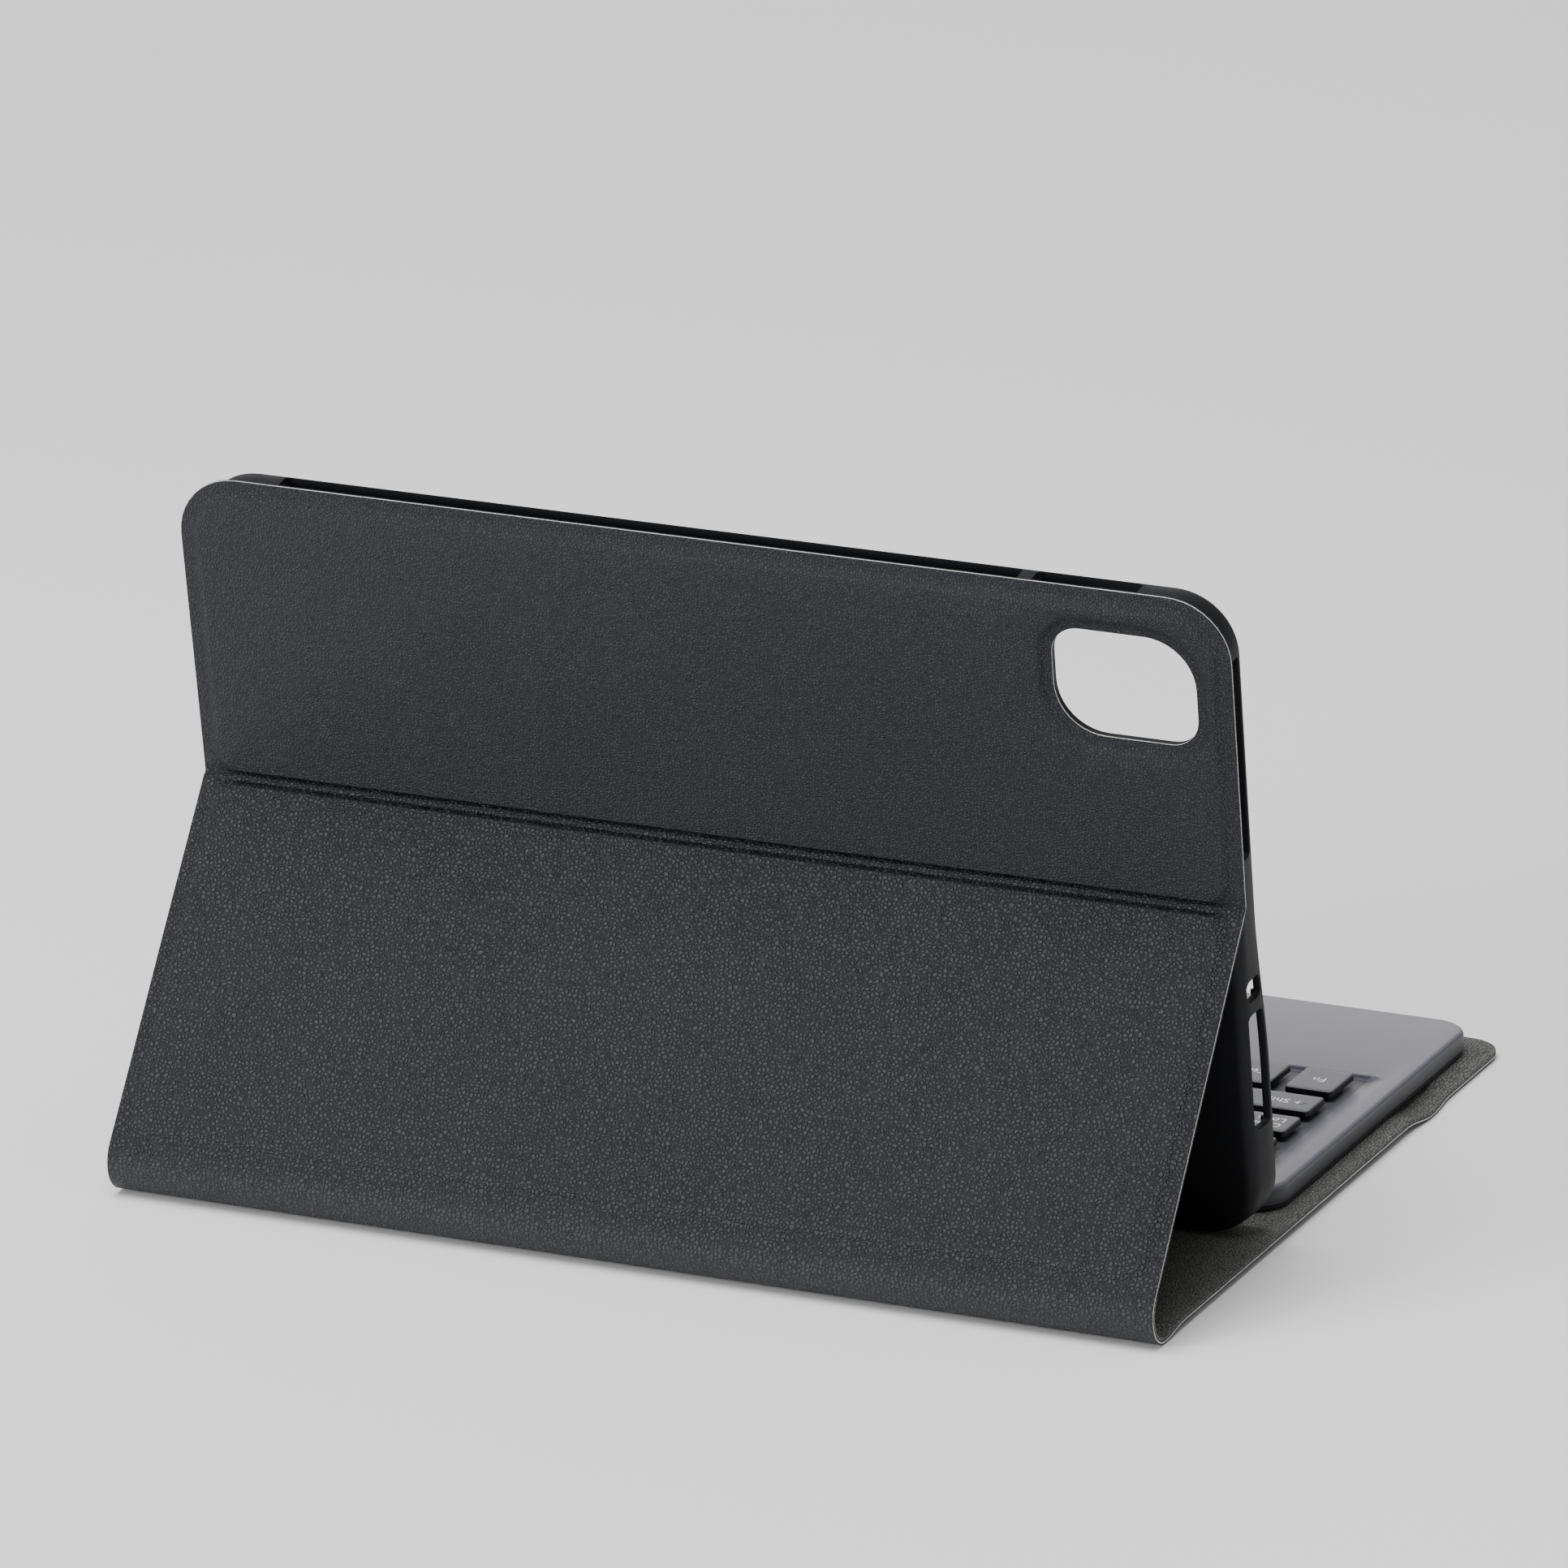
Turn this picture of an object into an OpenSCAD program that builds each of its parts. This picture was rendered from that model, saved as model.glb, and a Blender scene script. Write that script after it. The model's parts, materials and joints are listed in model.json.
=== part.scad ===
// Folding tablet keyboard case: a tray for the tablet on a leather cover that folds into a
// stand, with a thin detachable keyboard lying on the front cover.
// Frame: X across (+X is the user's right), Y from the user (-Y) to the rear (+Y), +Z up.
// The origin is under the middle of the case, on the surface that it stands on.

/* [Tablet] */
// Width of the tablet that the tray holds
tablet_w = 250.4; // [200:0.2:310]
// Height of that tablet, on its long edge
tablet_h = 155.8; // [125:0.2:200]
// Thickness of that tablet
tablet_t = 7.2; // [5.5:0.1:10]

/* [Tray] */
// Play round the tablet in the tray
tablet_play = 0.2; // [0.1:0.05:0.5]
// Thickness of the tray's side walls
tray_wall = 1.7; // [1.2:0.1:2.5]
// Thickness of the tray's back
tray_back = 1.4; // [1:0.1:2]
// Thickness of the front lip
lip_t = 1.2; // [0.8:0.1:2]
// How far the lip reaches over the tablet
lip_reach = 1.4; // [0.8:0.1:2.5]
// Corner radius of the tray outside
tray_corner = 14.5; // [8:0.5:20]
// Radius of the tray's lower back edge, on which it stands
tray_heel = 3; // [1.5:0.1:4]
// Backward lean of the standing tray, in degrees
tray_lean = 10; // [5:0.1:25]
// Depth of the cutouts in the side walls
wall_cut = 6; // [4.2:0.1:6.5]

/* [Cover] */
// Leather left showing at each side of the tray
side_overhang = 1.9; // [0.5:0.1:4]
// Leather left showing above the tray
top_overhang = 2.3; // [0.5:0.1:5]
// Height of the crease above the tray's lower edge
crease_height = 85.1; // [70:0.1:105]
// Lean of the supporting lower panel from vertical, in degrees
support_lean = 34.9; // [25:0.1:50]
// Outer radius of the bent spine
spine_r = 8.2; // [6:0.1:12]
// Thickness of the outer skin
skin_t = 0.9; // [0.6:0.05:1.4]
// Thickness of the stiffening boards
board_t = 1.2; // [0.8:0.05:2]
// Thickness of the inner lining
lining_t = 0.6; // [0.4:0.05:1]
// Width of the soft border round each board
border = 4.6; // [3:0.1:8]
// Corner radius of the upper cover panel
cover_corner = 15; // [8:0.5:20]
// Corner radius of the front flap
flap_corner = 9; // [5:0.5:15]
// Corner radius of a board
board_corner = 5; // [3:0.5:8]
// Distance from a board to the crease or the spine
board_setback = 2.4; // [1.5:0.1:5]
// Length of the front flap past its fold line
flap_len = 52; // [40:0.5:65]
// Length of the soft strip on each side of the flap's fold line
fold_soft = 14; // [8:0.5:18]

/* [Camera hole] */
// Width of the camera hole
camera_w = 34.5; // [20:0.5:45]
// Height of the camera hole
camera_h = 26.3; // [15:0.5:35]
// Distance from the hole to the side of the cover
camera_side = 8.6; // [7.5:0.1:20]
// Distance from the hole to the top of the cover
camera_top = 10.3; // [8:0.1:20]
// Larger corner radius of the hole
camera_big_r = 12; // [4:0.1:14]
// Smaller corner radius of the hole
camera_small_r = 7; // [3:0.1:14]
// Border between the hole and the board's edge
camera_border = 3; // [2:0.1:4]

/* [Keyboard] */
// Depth of the keyboard, front to rear
keyboard_d = 130.5; // [110:0.5:160]
// Thickness of the keyboard case
keyboard_t = 5.7; // [5.4:0.1:8]
// Cover left showing at each side of the keyboard
keyboard_side = 5; // [2:0.1:10]
// Cover left showing in front of the keyboard
keyboard_front = 8.5; // [3:0.1:15]
// Gap between the keyboard and the standing tray
keyboard_gap = 7.5; // [3:0.1:15]
// Corner radius of the keyboard
keyboard_corner = 9; // [4:0.5:12]
// Side wall of the keyboard case
keyboard_wall = 1.8; // [1.2:0.1:3]
// Thickness of the keyboard's top face
keyboard_top = 1.1; // [0.8:0.05:1.5]
// Thickness of the keyboard's bottom cover
keyboard_floor = 1; // [0.8:0.05:1.5]

/* [Keys] */
// Depth of the palm rest in front of the key well
palm_rest = 46; // [30:0.1:60]
// Margin between the keys and the well's edge
well_margin = 2.7; // [1.5:0.1:5]
// Rim beside the key well
well_rim = 8.6; // [5:0.1:12]
// Gap between keys
key_gap = 3.7; // [2:0.1:4.5]
// Depth of the front row of keys
front_key_d = 15.2; // [10:0.1:17]
// Thickness of a key cap
key_t = 1.6; // [1.4:0.05:2]
// Thickness of a key cap's top
key_skin = 0.6; // [0.4:0.05:0.8]
// Travel of a key
key_travel = 1; // [0.6:0.05:1.2]
// Corner radius of a key cap
key_corner = 1.2; // [0.5:0.1:2]

/* [Hidden] */
$fn = 64;

part_gap = 0.3;                         // running gap between pieces that move apart
through = 1;                            // how far a cut reaches past what it cuts
leather = "#2f3238";
rough_leather = "#2a2c31";
plastic = "#55555b";
dark_plastic = "#3a3b42";

// Laminate: the board lies on the lining side, so the skin stands out over it
laminate_t = board_t + skin_t;
skin_mid = skin_t / 2;

// Tray
tray_w = tablet_w + 2 * (tablet_play + tray_wall);
tray_h = tablet_h + 2 * (tablet_play + tray_wall);
pocket_depth = tablet_t + tablet_play;
tray_depth = tray_back + pocket_depth + lip_t;
tray_bottom = -crease_height;
tray_top = tray_h - crease_height;
case_w = tray_w + 2 * side_overhang;
upper_len = tray_top + top_overhang;

// Standing geometry: the tray stands on its heel just over the lining
stand_z = laminate_t + lining_t + part_gap;
crease_z = stand_z + tray_heel + (crease_height - tray_heel) * cos(tray_lean)
    - (skin_mid + tray_heel) * sin(tray_lean);
panel_heading = 90 + support_lean;      // direction up the lower panel, from +Y
lower_inset = skin_t + skin_mid;        // from the spine's outer face in to the crease's axis
lower_len = (crease_z - spine_r + (spine_r - lower_inset) * cos(panel_heading)) / sin(panel_heading);
crease_to_spine = -lower_len * cos(panel_heading) - (spine_r - lower_inset) * sin(panel_heading);
crease_to_tray_front = crease_height * sin(tray_lean) + (skin_mid + tray_depth) * cos(tray_lean);
front_len = keyboard_front + keyboard_d + keyboard_gap + crease_to_tray_front + crease_to_spine;
spine_y = (front_len - spine_r) / 2;    // line where the spine leaves the ground
front_y = spine_y - front_len;          // front edge of the cover
crease_y = spine_y - crease_to_spine;
fold_y = front_y + flap_len;            // fold line of the flap
spine_half = panel_heading / 2;
spine_split = 0.9;                      // gap between the spine's two strips
spine_gap = spine_split / 2 / spine_r * 180 / PI;  // half of it, in degrees
lower_board_setback = 4.2;              // from the lower board to the spine

// Keyboard
keyboard_w = case_w - 2 * keyboard_side;
keyboard_x = keyboard_w / 2;
keyboard_y0 = front_y + keyboard_front;
keyboard_y1 = keyboard_y0 + keyboard_d;
keyboard_z = laminate_t + lining_t + part_gap;
case_z = keyboard_z + keyboard_floor;   // joint between bottom cover and top case
keyboard_top_z = keyboard_z + keyboard_t;
plate_z = keyboard_top_z - keyboard_top; // top of the key plate
plate_t = 0.4;
membrane_t = 0.3;
plate_margin = 2;
well_x = keyboard_x - well_rim;
well_y0 = keyboard_y0 + palm_rest;
rear_rim = 3.2;                         // rim behind the key well
well_y1 = keyboard_y1 - rear_rim;
screw_inset = 4;
screw_end = 5;
screw_x = keyboard_x - screw_inset;
screw_rows = [keyboard_y0 + screw_end, (keyboard_y0 + keyboard_y1) / 2, keyboard_y1 - screw_end];
screw_len = 3.2;
boss_r = 1.9;
screw_r = 0.8;
screw_head_r = 1.6;
screw_head_t = 0.5;
screw_sunk = 0.1;                       // head below the bottom cover's face
screw_bite = 0.02;
fit = 0.05;                             // play round a piece set in a hole
socket_from_front = 27;
socket_y = keyboard_y0 + socket_from_front;
socket_plate = 0.3;                     // thickness of the socket's metal
socket_w = 8.9;
socket_t = 3.1;
socket_depth = 7.3;
socket_rise = 1.8;                      // centre of the socket above the case joint
socket_z = case_z + socket_rise;
switch_from_front = 45;
switch_y = keyboard_y0 + switch_from_front;
switch_len = 3.5;
switch_travel = 3;
switch_rise = 1.7;                      // centre of the switch above the case joint
switch_z = case_z + switch_rise;
switch_knob_t = 1.4;
switch_slot_t = 2;
switch_plate_t = 2.8;
switch_plate = 0.9;                     // the plate behind the slot, with its play
switch_out = 0.5;                       // how far the knob stands out of the case
lens_r = 0.7;
lens_from_rear = 14;
lens_from_side = 4.2;
lens_x = keyboard_x - lens_from_side;
lens_y = keyboard_y1 - lens_from_rear;
battery_w = keyboard_x * 0.58;
battery_d = 30;
battery_t = 2.9;
battery_x = [-keyboard_x * 0.9, -keyboard_x * 0.27];
cell_front = 8;                         // batteries and circuit board, from the case's front
board_x = keyboard_x * 0.38;
circuit_t = 0.8;

// Keys
row_units = 14.5;
keys_x = well_x - well_margin;
key_pitch = (2 * keys_x + key_gap) / row_units;
front_margin = 3.7;                     // between the well's front edge and the front row
rear_margin = 1.9;                      // between the well's rear edge and the number row
keys_y0 = well_y0 + front_margin;
row1_y = keys_y0 + front_key_d + key_gap;
row_pitch = (well_y1 - rear_margin + key_gap - row1_y) / 4;
key_d = row_pitch - key_gap;
key_clear = 0.15;                       // left under a key that is pressed down
key_wall = 0.8;                         // side of a key cap
key_z = plate_z + key_travel + key_clear;
scissor_w = 8.4;
scissor_d = 8;
scissor_bar = 1;
scissor_t = 0.9;
dome_r = 2.6;
dome_tip_r = 1.5;
dome_t = 0.95;
number_row = [1, 1, 1, 1, 1, 1, 1, 1, 1, 1, 1, 1, 1, 1.5];
tab_row = [1.5, 1, 1, 1, 1, 1, 1, 1, 1, 1, 1, 1, 1, 1];
caps_row = [1.75, 1, 1, 1, 1, 1, 1, 1, 1, 1, 1, 1, 1.75];
shift_row = [2.25, 1, 1, 1, 1, 1, 1, 1, 1, 1, 1, 2.25];
front_row = [1, 1, 1, 1.25, 5, 1.25, 1, 1, 1, 1];

// Magnets, as bars across the case
magnet_cover = 0.3;                     // board left over a magnet
magnet_t = board_t - magnet_cover;
keyboard_magnet_t = 1.2;
bar_l = 24;
bar_w = 5;
bar_spread = case_w * 0.75;             // between the outer two of a row
palm_bar_spread = case_w * 0.6;
flap_bar_spread = case_w * 0.7;
bar_rear = keyboard_y1 - 12;
bar_palm = keyboard_y0 + 45.5;
bar_fold = fold_y + fold_soft + 8;
bar_flap = front_y + border + 10;
bar_tray = crease_y - crease_to_tray_front + tray_depth;

// Cutouts in the tray's walls, between two heights or two places across
cut_back = 0.6;                         // wall left between a cutout and the tray's back
top_cuts = [[-0.3 * tray_w, 0.415 * tray_w], [-0.413 * tray_w, -0.315 * tray_w]];
left_cuts = [[0.14 * tray_top, 0.82 * tray_top], [0.29 * tray_bottom, 0.23 * tray_bottom],
    [0.67 * tray_bottom, 0.33 * tray_bottom]];
right_cuts = [[0.3 * tray_top, 0.76 * tray_top], [0.13 * tray_bottom, 0.026 * tray_top],
    [0.67 * tray_bottom, 0.26 * tray_bottom]];

// ---- frames ----
// Local X across, Y along the panel, Z outward from the lining side
module front_frame() translate([0, 0, laminate_t]) mirror([0, 0, 1]) children();
module crease_frame(heading, offset)
    translate([0, crease_y, crease_z]) rotate([heading, 0, 0])
    translate([0, 0, -offset]) mirror([0, 0, 1]) children();
module upper_frame() crease_frame(90 - tray_lean, -skin_mid) children();
module lower_frame() crease_frame(panel_heading, skin_mid) children();

// ---- shapes ----
module layer(z0, z1) translate([0, 0, z0]) linear_extrude(z1 - z0) children();

// Rectangle with its own radius at each corner: [left low, right low, right high, left high]
module round_rect(x0, y0, x1, y1, radii) difference() {
    translate([x0, y0]) square([x1 - x0, y1 - y0]);
    corners = [[x0, y0, 1, 1], [x1, y0, -1, 1], [x1, y1, -1, -1], [x0, y1, 1, -1]];
    for (i = [0:3]) if (radii[i] > 0) {
        c = corners[i];
        translate([c[0], c[1]]) mirror([c[2] < 0 ? 1 : 0, 0]) mirror([0, c[3] < 0 ? 1 : 0])
            difference() {
                translate([-1, -1]) square(radii[i] + 1);
                translate([radii[i], radii[i]]) circle(radii[i]);
            }
    }
}
module panel(y0, y1, r0, r1, inset = 0)
    round_rect(-case_w / 2 + inset, y0, case_w / 2 - inset, y1, [r0, r0, r1, r1]);
module box(x0, y0, z0, x1, y1, z1) translate([x0, y0, z0]) cube([x1 - x0, y1 - y0, z1 - z0]);

// ---- board outlines ----
module front_board_2d(grow = 0)
    panel(fold_y + fold_soft - grow, spine_y - board_setback + grow, board_corner, board_corner,
        border - grow);
module flap_board_2d(grow = 0)
    panel(front_y + border - grow, fold_y - fold_soft + grow, board_corner, board_corner,
        border - grow);
module lower_board_2d(grow = 0)
    panel(-lower_len + lower_board_setback - grow, -board_setback + grow, board_corner,
        board_corner, border - grow);
module camera_2d(grow = 0) round_rect(
    -case_w / 2 + camera_side - grow, upper_len - camera_top - camera_h - grow,
    -case_w / 2 + camera_side + camera_w + grow, upper_len - camera_top + grow,
    [camera_small_r + grow, camera_big_r + grow, camera_small_r + grow, camera_big_r + grow]);
module upper_board_2d(grow = 0) difference() {
    panel(board_setback - grow, upper_len - border + grow, board_corner, cover_corner - border,
        border - grow);
    camera_2d(camera_border - grow);
}

// ---- cover magnets, as bars across the case ----
module bars(y, count, spread) for (i = [0:count - 1])
    translate([spread * (i / (count - 1) - 0.5) - bar_l / 2, y - bar_w / 2]) square([bar_l, bar_w]);
module cover_bars() {
    bars(bar_tray, 4, bar_spread);
    bars(bar_rear, 4, bar_spread);
    bars(bar_fold, 4, bar_spread);
}
module flap_bars() bars(bar_flap, 3, flap_bar_spread);

// ---- front cover ----
module front_skin() color(leather) front_frame() {
    layer(board_t, laminate_t) panel(fold_y + part_gap, spine_y - part_gap, 0, 0, border - skin_t);
    difference() {
        union() {
            layer(0, skin_t) panel(fold_y + fold_soft, spine_y - board_setback, 0, 0);
            layer(board_t, laminate_t) panel(fold_y + part_gap, fold_y + fold_soft, 0, 0);
            layer(board_t, laminate_t) panel(spine_y - board_setback, spine_y - part_gap, 0, 0);
            layer(0, laminate_t) panel(fold_y + fold_soft - skin_t,
                spine_y - board_setback + skin_t, 0, 0, border - skin_t);
        }
        layer(-1, board_t) front_board_2d();
    }
}
module front_board() color("#b9b2a4") front_frame() difference() {
    layer(0, board_t) front_board_2d();
    layer(-1, magnet_t) cover_bars();
}
module cover_magnets() color("silver") front_frame() layer(0, magnet_t) cover_bars();
module front_lining() color("#5b5b58") front_frame() {
    layer(-lining_t, 0) panel(fold_y + fold_soft - skin_t - lining_t,
        spine_y - board_setback + skin_t + lining_t, 0, 0);
    layer(-lining_t, board_t)
        panel(fold_y + fold_soft - skin_t - lining_t, fold_y + fold_soft - skin_t, 0, 0);
    layer(-lining_t, board_t) panel(spine_y - board_setback + skin_t,
        spine_y - board_setback + skin_t + lining_t, 0, 0);
    layer(board_t - lining_t, board_t) {
        panel(fold_y + part_gap, fold_y + fold_soft - skin_t, 0, 0);
        panel(spine_y - board_setback + skin_t, spine_y - part_gap, 0, 0);
    }
}

// ---- flap ----
module flap_skin() color(leather) front_frame() difference() {
    union() {
        layer(0, skin_t) panel(front_y, fold_y - fold_soft, flap_corner, 0);
        layer(board_t, laminate_t) panel(fold_y - fold_soft, fold_y - part_gap, 0, 0);
        layer(0, laminate_t) panel(front_y + border - skin_t, fold_y - fold_soft + skin_t,
            board_corner, 0, border - skin_t);
    }
    layer(-1, board_t) flap_board_2d();
}
module flap_board() color("#b9b2a4") front_frame() difference() {
    layer(0, board_t) flap_board_2d();
    layer(-1, magnet_t) flap_bars();
}
module flap_magnets() color("silver") front_frame() layer(0, magnet_t) flap_bars();
module flap_lining() color("#5b5b58") front_frame() {
    layer(-lining_t, 0) panel(front_y, fold_y - fold_soft + skin_t + lining_t, flap_corner, 0);
    layer(-lining_t, board_t)
        panel(fold_y - fold_soft + skin_t, fold_y - fold_soft + skin_t + lining_t, 0, 0);
    layer(board_t - lining_t, board_t)
        panel(fold_y - fold_soft + skin_t, fold_y - part_gap, 0, 0);
}

// ---- spine: two strips of a half-round bend ----
// Arc between two headings; heading 0 is where the spine touches the ground
module spine_arc(r_out, t, from, to)
    translate([-case_w / 2, spine_y, spine_r]) rotate([0, 90, 0]) rotate([0, 0, from])
    rotate_extrude_sector(r_out, t, to - from);
module rotate_extrude_sector(r_out, t, sweep) difference() {
    cylinder(h = case_w, r = r_out);
    translate([0, 0, -1]) cylinder(h = case_w + 2, r = r_out - t);
    translate([-2 * r_out, -4 * r_out, -1]) cube([4 * r_out, 4 * r_out, case_w + 2]);
    rotate([0, 0, sweep]) translate([-2 * r_out, 0, -1]) cube([4 * r_out, 4 * r_out, case_w + 2]);
}
contact_gap = part_gap / spine_r * 180 / PI;
module spine_skin_lower() color(rough_leather)
    spine_arc(spine_r, skin_t, contact_gap, spine_half - spine_gap);
module spine_lining_lower() color("#5b5b58")
    spine_arc(spine_r - skin_t, lining_t, contact_gap, spine_half - spine_gap);
module spine_skin_upper() color(rough_leather)
    spine_arc(spine_r, skin_t, spine_half + spine_gap, panel_heading - contact_gap);
module spine_lining_upper() color("#5b5b58")
    spine_arc(spine_r - skin_t, lining_t, spine_half + spine_gap, panel_heading - contact_gap);

// ---- lower panel ----
module lower_skin() color(rough_leather) lower_frame() difference() {
    union() {
        layer(0, skin_t) panel(-lower_len + part_gap, -1, 0, 0);
        layer(0, laminate_t) lower_board_2d(skin_t);
    }
    layer(-1, board_t) lower_board_2d();
}
module lower_board() color("#b9b2a4") lower_frame() layer(0, board_t) lower_board_2d();
module lower_lining() color("#5b5b58") lower_frame()
    layer(-lining_t, 0) panel(-lower_len + part_gap, -2, 0, 0);

// ---- upper panel and tray ----
module upper_skin() color(leather) upper_frame() difference() {
    union() {
        layer(0, skin_t) panel(part_gap, upper_len, 0, cover_corner);
        layer(0, laminate_t) upper_board_2d(skin_t);
    }
    layer(-1, board_t) upper_board_2d();
    layer(-1, laminate_t + 1) camera_2d();
}
module upper_board() color("#b9b2a4") upper_frame() layer(0, board_t) upper_board_2d();

module tray_2d(inset) round_rect(-tray_w / 2 + inset, tray_bottom + inset, tray_w / 2 - inset,
    tray_top - inset, [for (i = [0:3]) tray_corner - inset]);
// Cutout through a side wall, and through the lip beside it
module side_cut(side, y0, y1) mirror([side < 0 ? 1 : 0, 0, 0]) {
    z1 = -tray_back - cut_back;
    x_in = tray_w / 2 - tray_wall;
    box(x_in - through, y0, z1 - wall_cut, tray_w / 2 + through, y1, z1);
    box(x_in - lip_reach - through, y0, -tray_depth - through, x_in, y1, -tray_depth + lip_t);
}
module top_cut(x0, x1) box(x0, tray_top - tray_wall - through, -tray_back - pocket_depth,
    x1, tray_top + through, -tray_back);
module heel_profile() difference() {
    translate([-tray_depth - 1, tray_bottom - 1]) square([tray_depth + 1, tray_h + 2]);
    translate([-tray_heel, tray_bottom - 2]) difference() {
        square([tray_heel + 1, tray_heel + 2]);
        translate([0, tray_heel + 2]) circle(tray_heel);
    }
}
module tray_shell() color("#18181a") upper_frame() difference() {
    intersection() {
        layer(-tray_depth, 0) tray_2d(0);
        // heel profile, drawn in depth and height, swept across the tray
        translate([-tray_w / 2 - 1, 0, 0]) rotate([0, 90, 0]) mirror([1, 0, 0])
            linear_extrude(tray_w + 2) heel_profile();
    }
    layer(-tray_depth + lip_t, -tray_back) tray_2d(tray_wall);
    layer(-tray_depth - 1, -tray_back) tray_2d(tray_wall + lip_reach);
    layer(-tray_back - 1, 1) camera_2d();
    for (cut = top_cuts) top_cut(cut[0], cut[1]);
    for (cut = left_cuts) side_cut(-1, cut[0], cut[1]);
    for (cut = right_cuts) side_cut(1, cut[0], cut[1]);
}

// ---- keyboard ----
module keyboard_2d(inset = 0) round_rect(-keyboard_x + inset, keyboard_y0 + inset,
    keyboard_x - inset, keyboard_y1 - inset, [for (i = [0:3]) keyboard_corner - inset]);
module at_screws() for (x = [-screw_x, screw_x], y = screw_rows) translate([x, y, 0]) children();
module slot_2d(w, t) {
    square([w - t, t], center = true);
    for (s = [-1, 1]) translate([s * (w - t) / 2, 0]) circle(t / 2);
}
module socket_hole(w, t, x0, x1) translate([x0, socket_y, socket_z]) rotate([90, 0, 90])
    linear_extrude(x1 - x0) slot_2d(w, t);
module keyboard_top_case() color(plastic) {
    difference() {
        layer(case_z, keyboard_top_z) keyboard_2d();
        layer(case_z - 1, plate_z) keyboard_2d(keyboard_wall);
        layer(plate_z - 1, keyboard_top_z + 1)
            round_rect(-well_x, well_y0, well_x, well_y1, [for (i = [0:3]) 1.5]);
        socket_hole(socket_w + 2 * fit, socket_t + 2 * fit, keyboard_x - keyboard_wall - through,
            keyboard_x + through);
        box(keyboard_x - keyboard_wall - through, switch_y - through, switch_z - switch_slot_t / 2,
            keyboard_x + through, switch_y + switch_len + switch_travel + through,
            switch_z + switch_slot_t / 2);
        translate([lens_x, lens_y, plate_z - through])
            cylinder(h = keyboard_top + 2 * through, r = lens_r + fit);
    }
    difference() {
        at_screws() translate([0, 0, case_z])
            cylinder(h = keyboard_top_z - keyboard_top / 2 - case_z, r = boss_r);
        at_screws() translate([0, 0, case_z - through])
            cylinder(h = screw_len + through, r = screw_r);
    }
}
module keyboard_bottom_cover() color(dark_plastic) difference() {
    layer(keyboard_z, case_z) keyboard_2d();
    at_screws() translate([0, 0, keyboard_z - through])
        cylinder(h = keyboard_floor + 2 * through, r = screw_r + 2 * fit);
    at_screws() translate([0, 0, keyboard_z - through])
        cylinder(h = through + screw_sunk + screw_head_t, r = screw_head_r + 2 * fit);
}
module case_screws() color("#8a8a8c") at_screws() translate([0, 0, keyboard_z + screw_sunk]) {
    cylinder(h = screw_head_t, r = screw_head_r);
    cylinder(h = screw_len, r = screw_r - screw_bite);
}
module key_plate() color("#3b3c40") layer(plate_z - plate_t, plate_z) square_well(plate_margin);
module key_membrane() color("#202226")
    layer(plate_z - plate_t - membrane_t, plate_z - plate_t) square_well(plate_margin - 0.5);
module square_well(grow) translate([-well_x - grow, well_y0 - grow])
    square([2 * (well_x + grow), min(well_y1 + grow, keyboard_y1 - keyboard_wall - 0.2)
        - well_y0 + grow]);
module keyboard_batteries() color("#9fa3a8") for (x = battery_x)
    box(x, keyboard_y0 + cell_front, case_z + fit, x + battery_w,
        keyboard_y0 + cell_front + battery_d, case_z + fit + battery_t);
module keyboard_circuit_board() color("#1f5a38")
    box(board_x, keyboard_y0 + cell_front, case_z + circuit_t, keyboard_x - socket_depth - 1,
        keyboard_y0 + cell_front + battery_d, case_z + 2 * circuit_t);
module charging_socket() color("#b8babd") difference() {
    socket_hole(socket_w, socket_t, keyboard_x - socket_depth, keyboard_x - fit);
    socket_hole(socket_w - 2 * socket_plate, socket_t - 2 * socket_plate,
        keyboard_x - socket_depth + socket_plate, keyboard_x + through);
}
module status_lens() color("#e9f2f4") translate([lens_x, lens_y, plate_z + fit])
    cylinder(h = keyboard_top - fit, r = lens_r);
module keyboard_magnets() color("silver") layer(case_z, case_z + keyboard_magnet_t) {
    bars(bar_rear, 4, bar_spread);
    bars(bar_palm, 4, palm_bar_spread);
}
module power_switch() color("#26272b") {
    box(keyboard_x - keyboard_wall - switch_plate, switch_y - switch_out,
        switch_z - switch_plate_t / 2, keyboard_x - keyboard_wall - 2 * fit,
        switch_y + switch_len + switch_out, switch_z + switch_plate_t / 2);
    box(keyboard_x - keyboard_wall - switch_plate / 2, switch_y, switch_z - switch_knob_t / 2,
        keyboard_x + switch_out, switch_y + switch_len, switch_z + switch_knob_t / 2);
}

// ---- keys ----
function units_before(row, i) = i == 0 ? 0 : row[i - 1] + units_before(row, i - 1);
function key_x0(row, i) = -keys_x + key_pitch * units_before(row, i);
function key_x1(row, i) = key_x0(row, i) + key_pitch * row[i] - key_gap;
function row_y(r) = r == 0 ? keys_y0 : row1_y + row_pitch * (r - 1);
function row_d(r) = r == 0 ? front_key_d : key_d;
// Children get one key's corner at the origin and its size in $key_w and $key_d
module each_key(row, r, which) for (i = which) {
    $key_w = key_x1(row, i) - key_x0(row, i);
    $key_d = row_d(r);
    translate([key_x0(row, i), row_y(r), 0]) children();
}
module cap() color("#4d4d52") translate([0, 0, key_z]) difference() {
    layer(0, key_t) round_rect(0, 0, $key_w, $key_d, [for (i = [0:3]) key_corner]);
    box(key_wall, key_wall, -through, $key_w - key_wall, $key_d - key_wall, key_t - key_skin);
}
module keys(row, r, which) each_key(row, r, which) cap();
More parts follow.
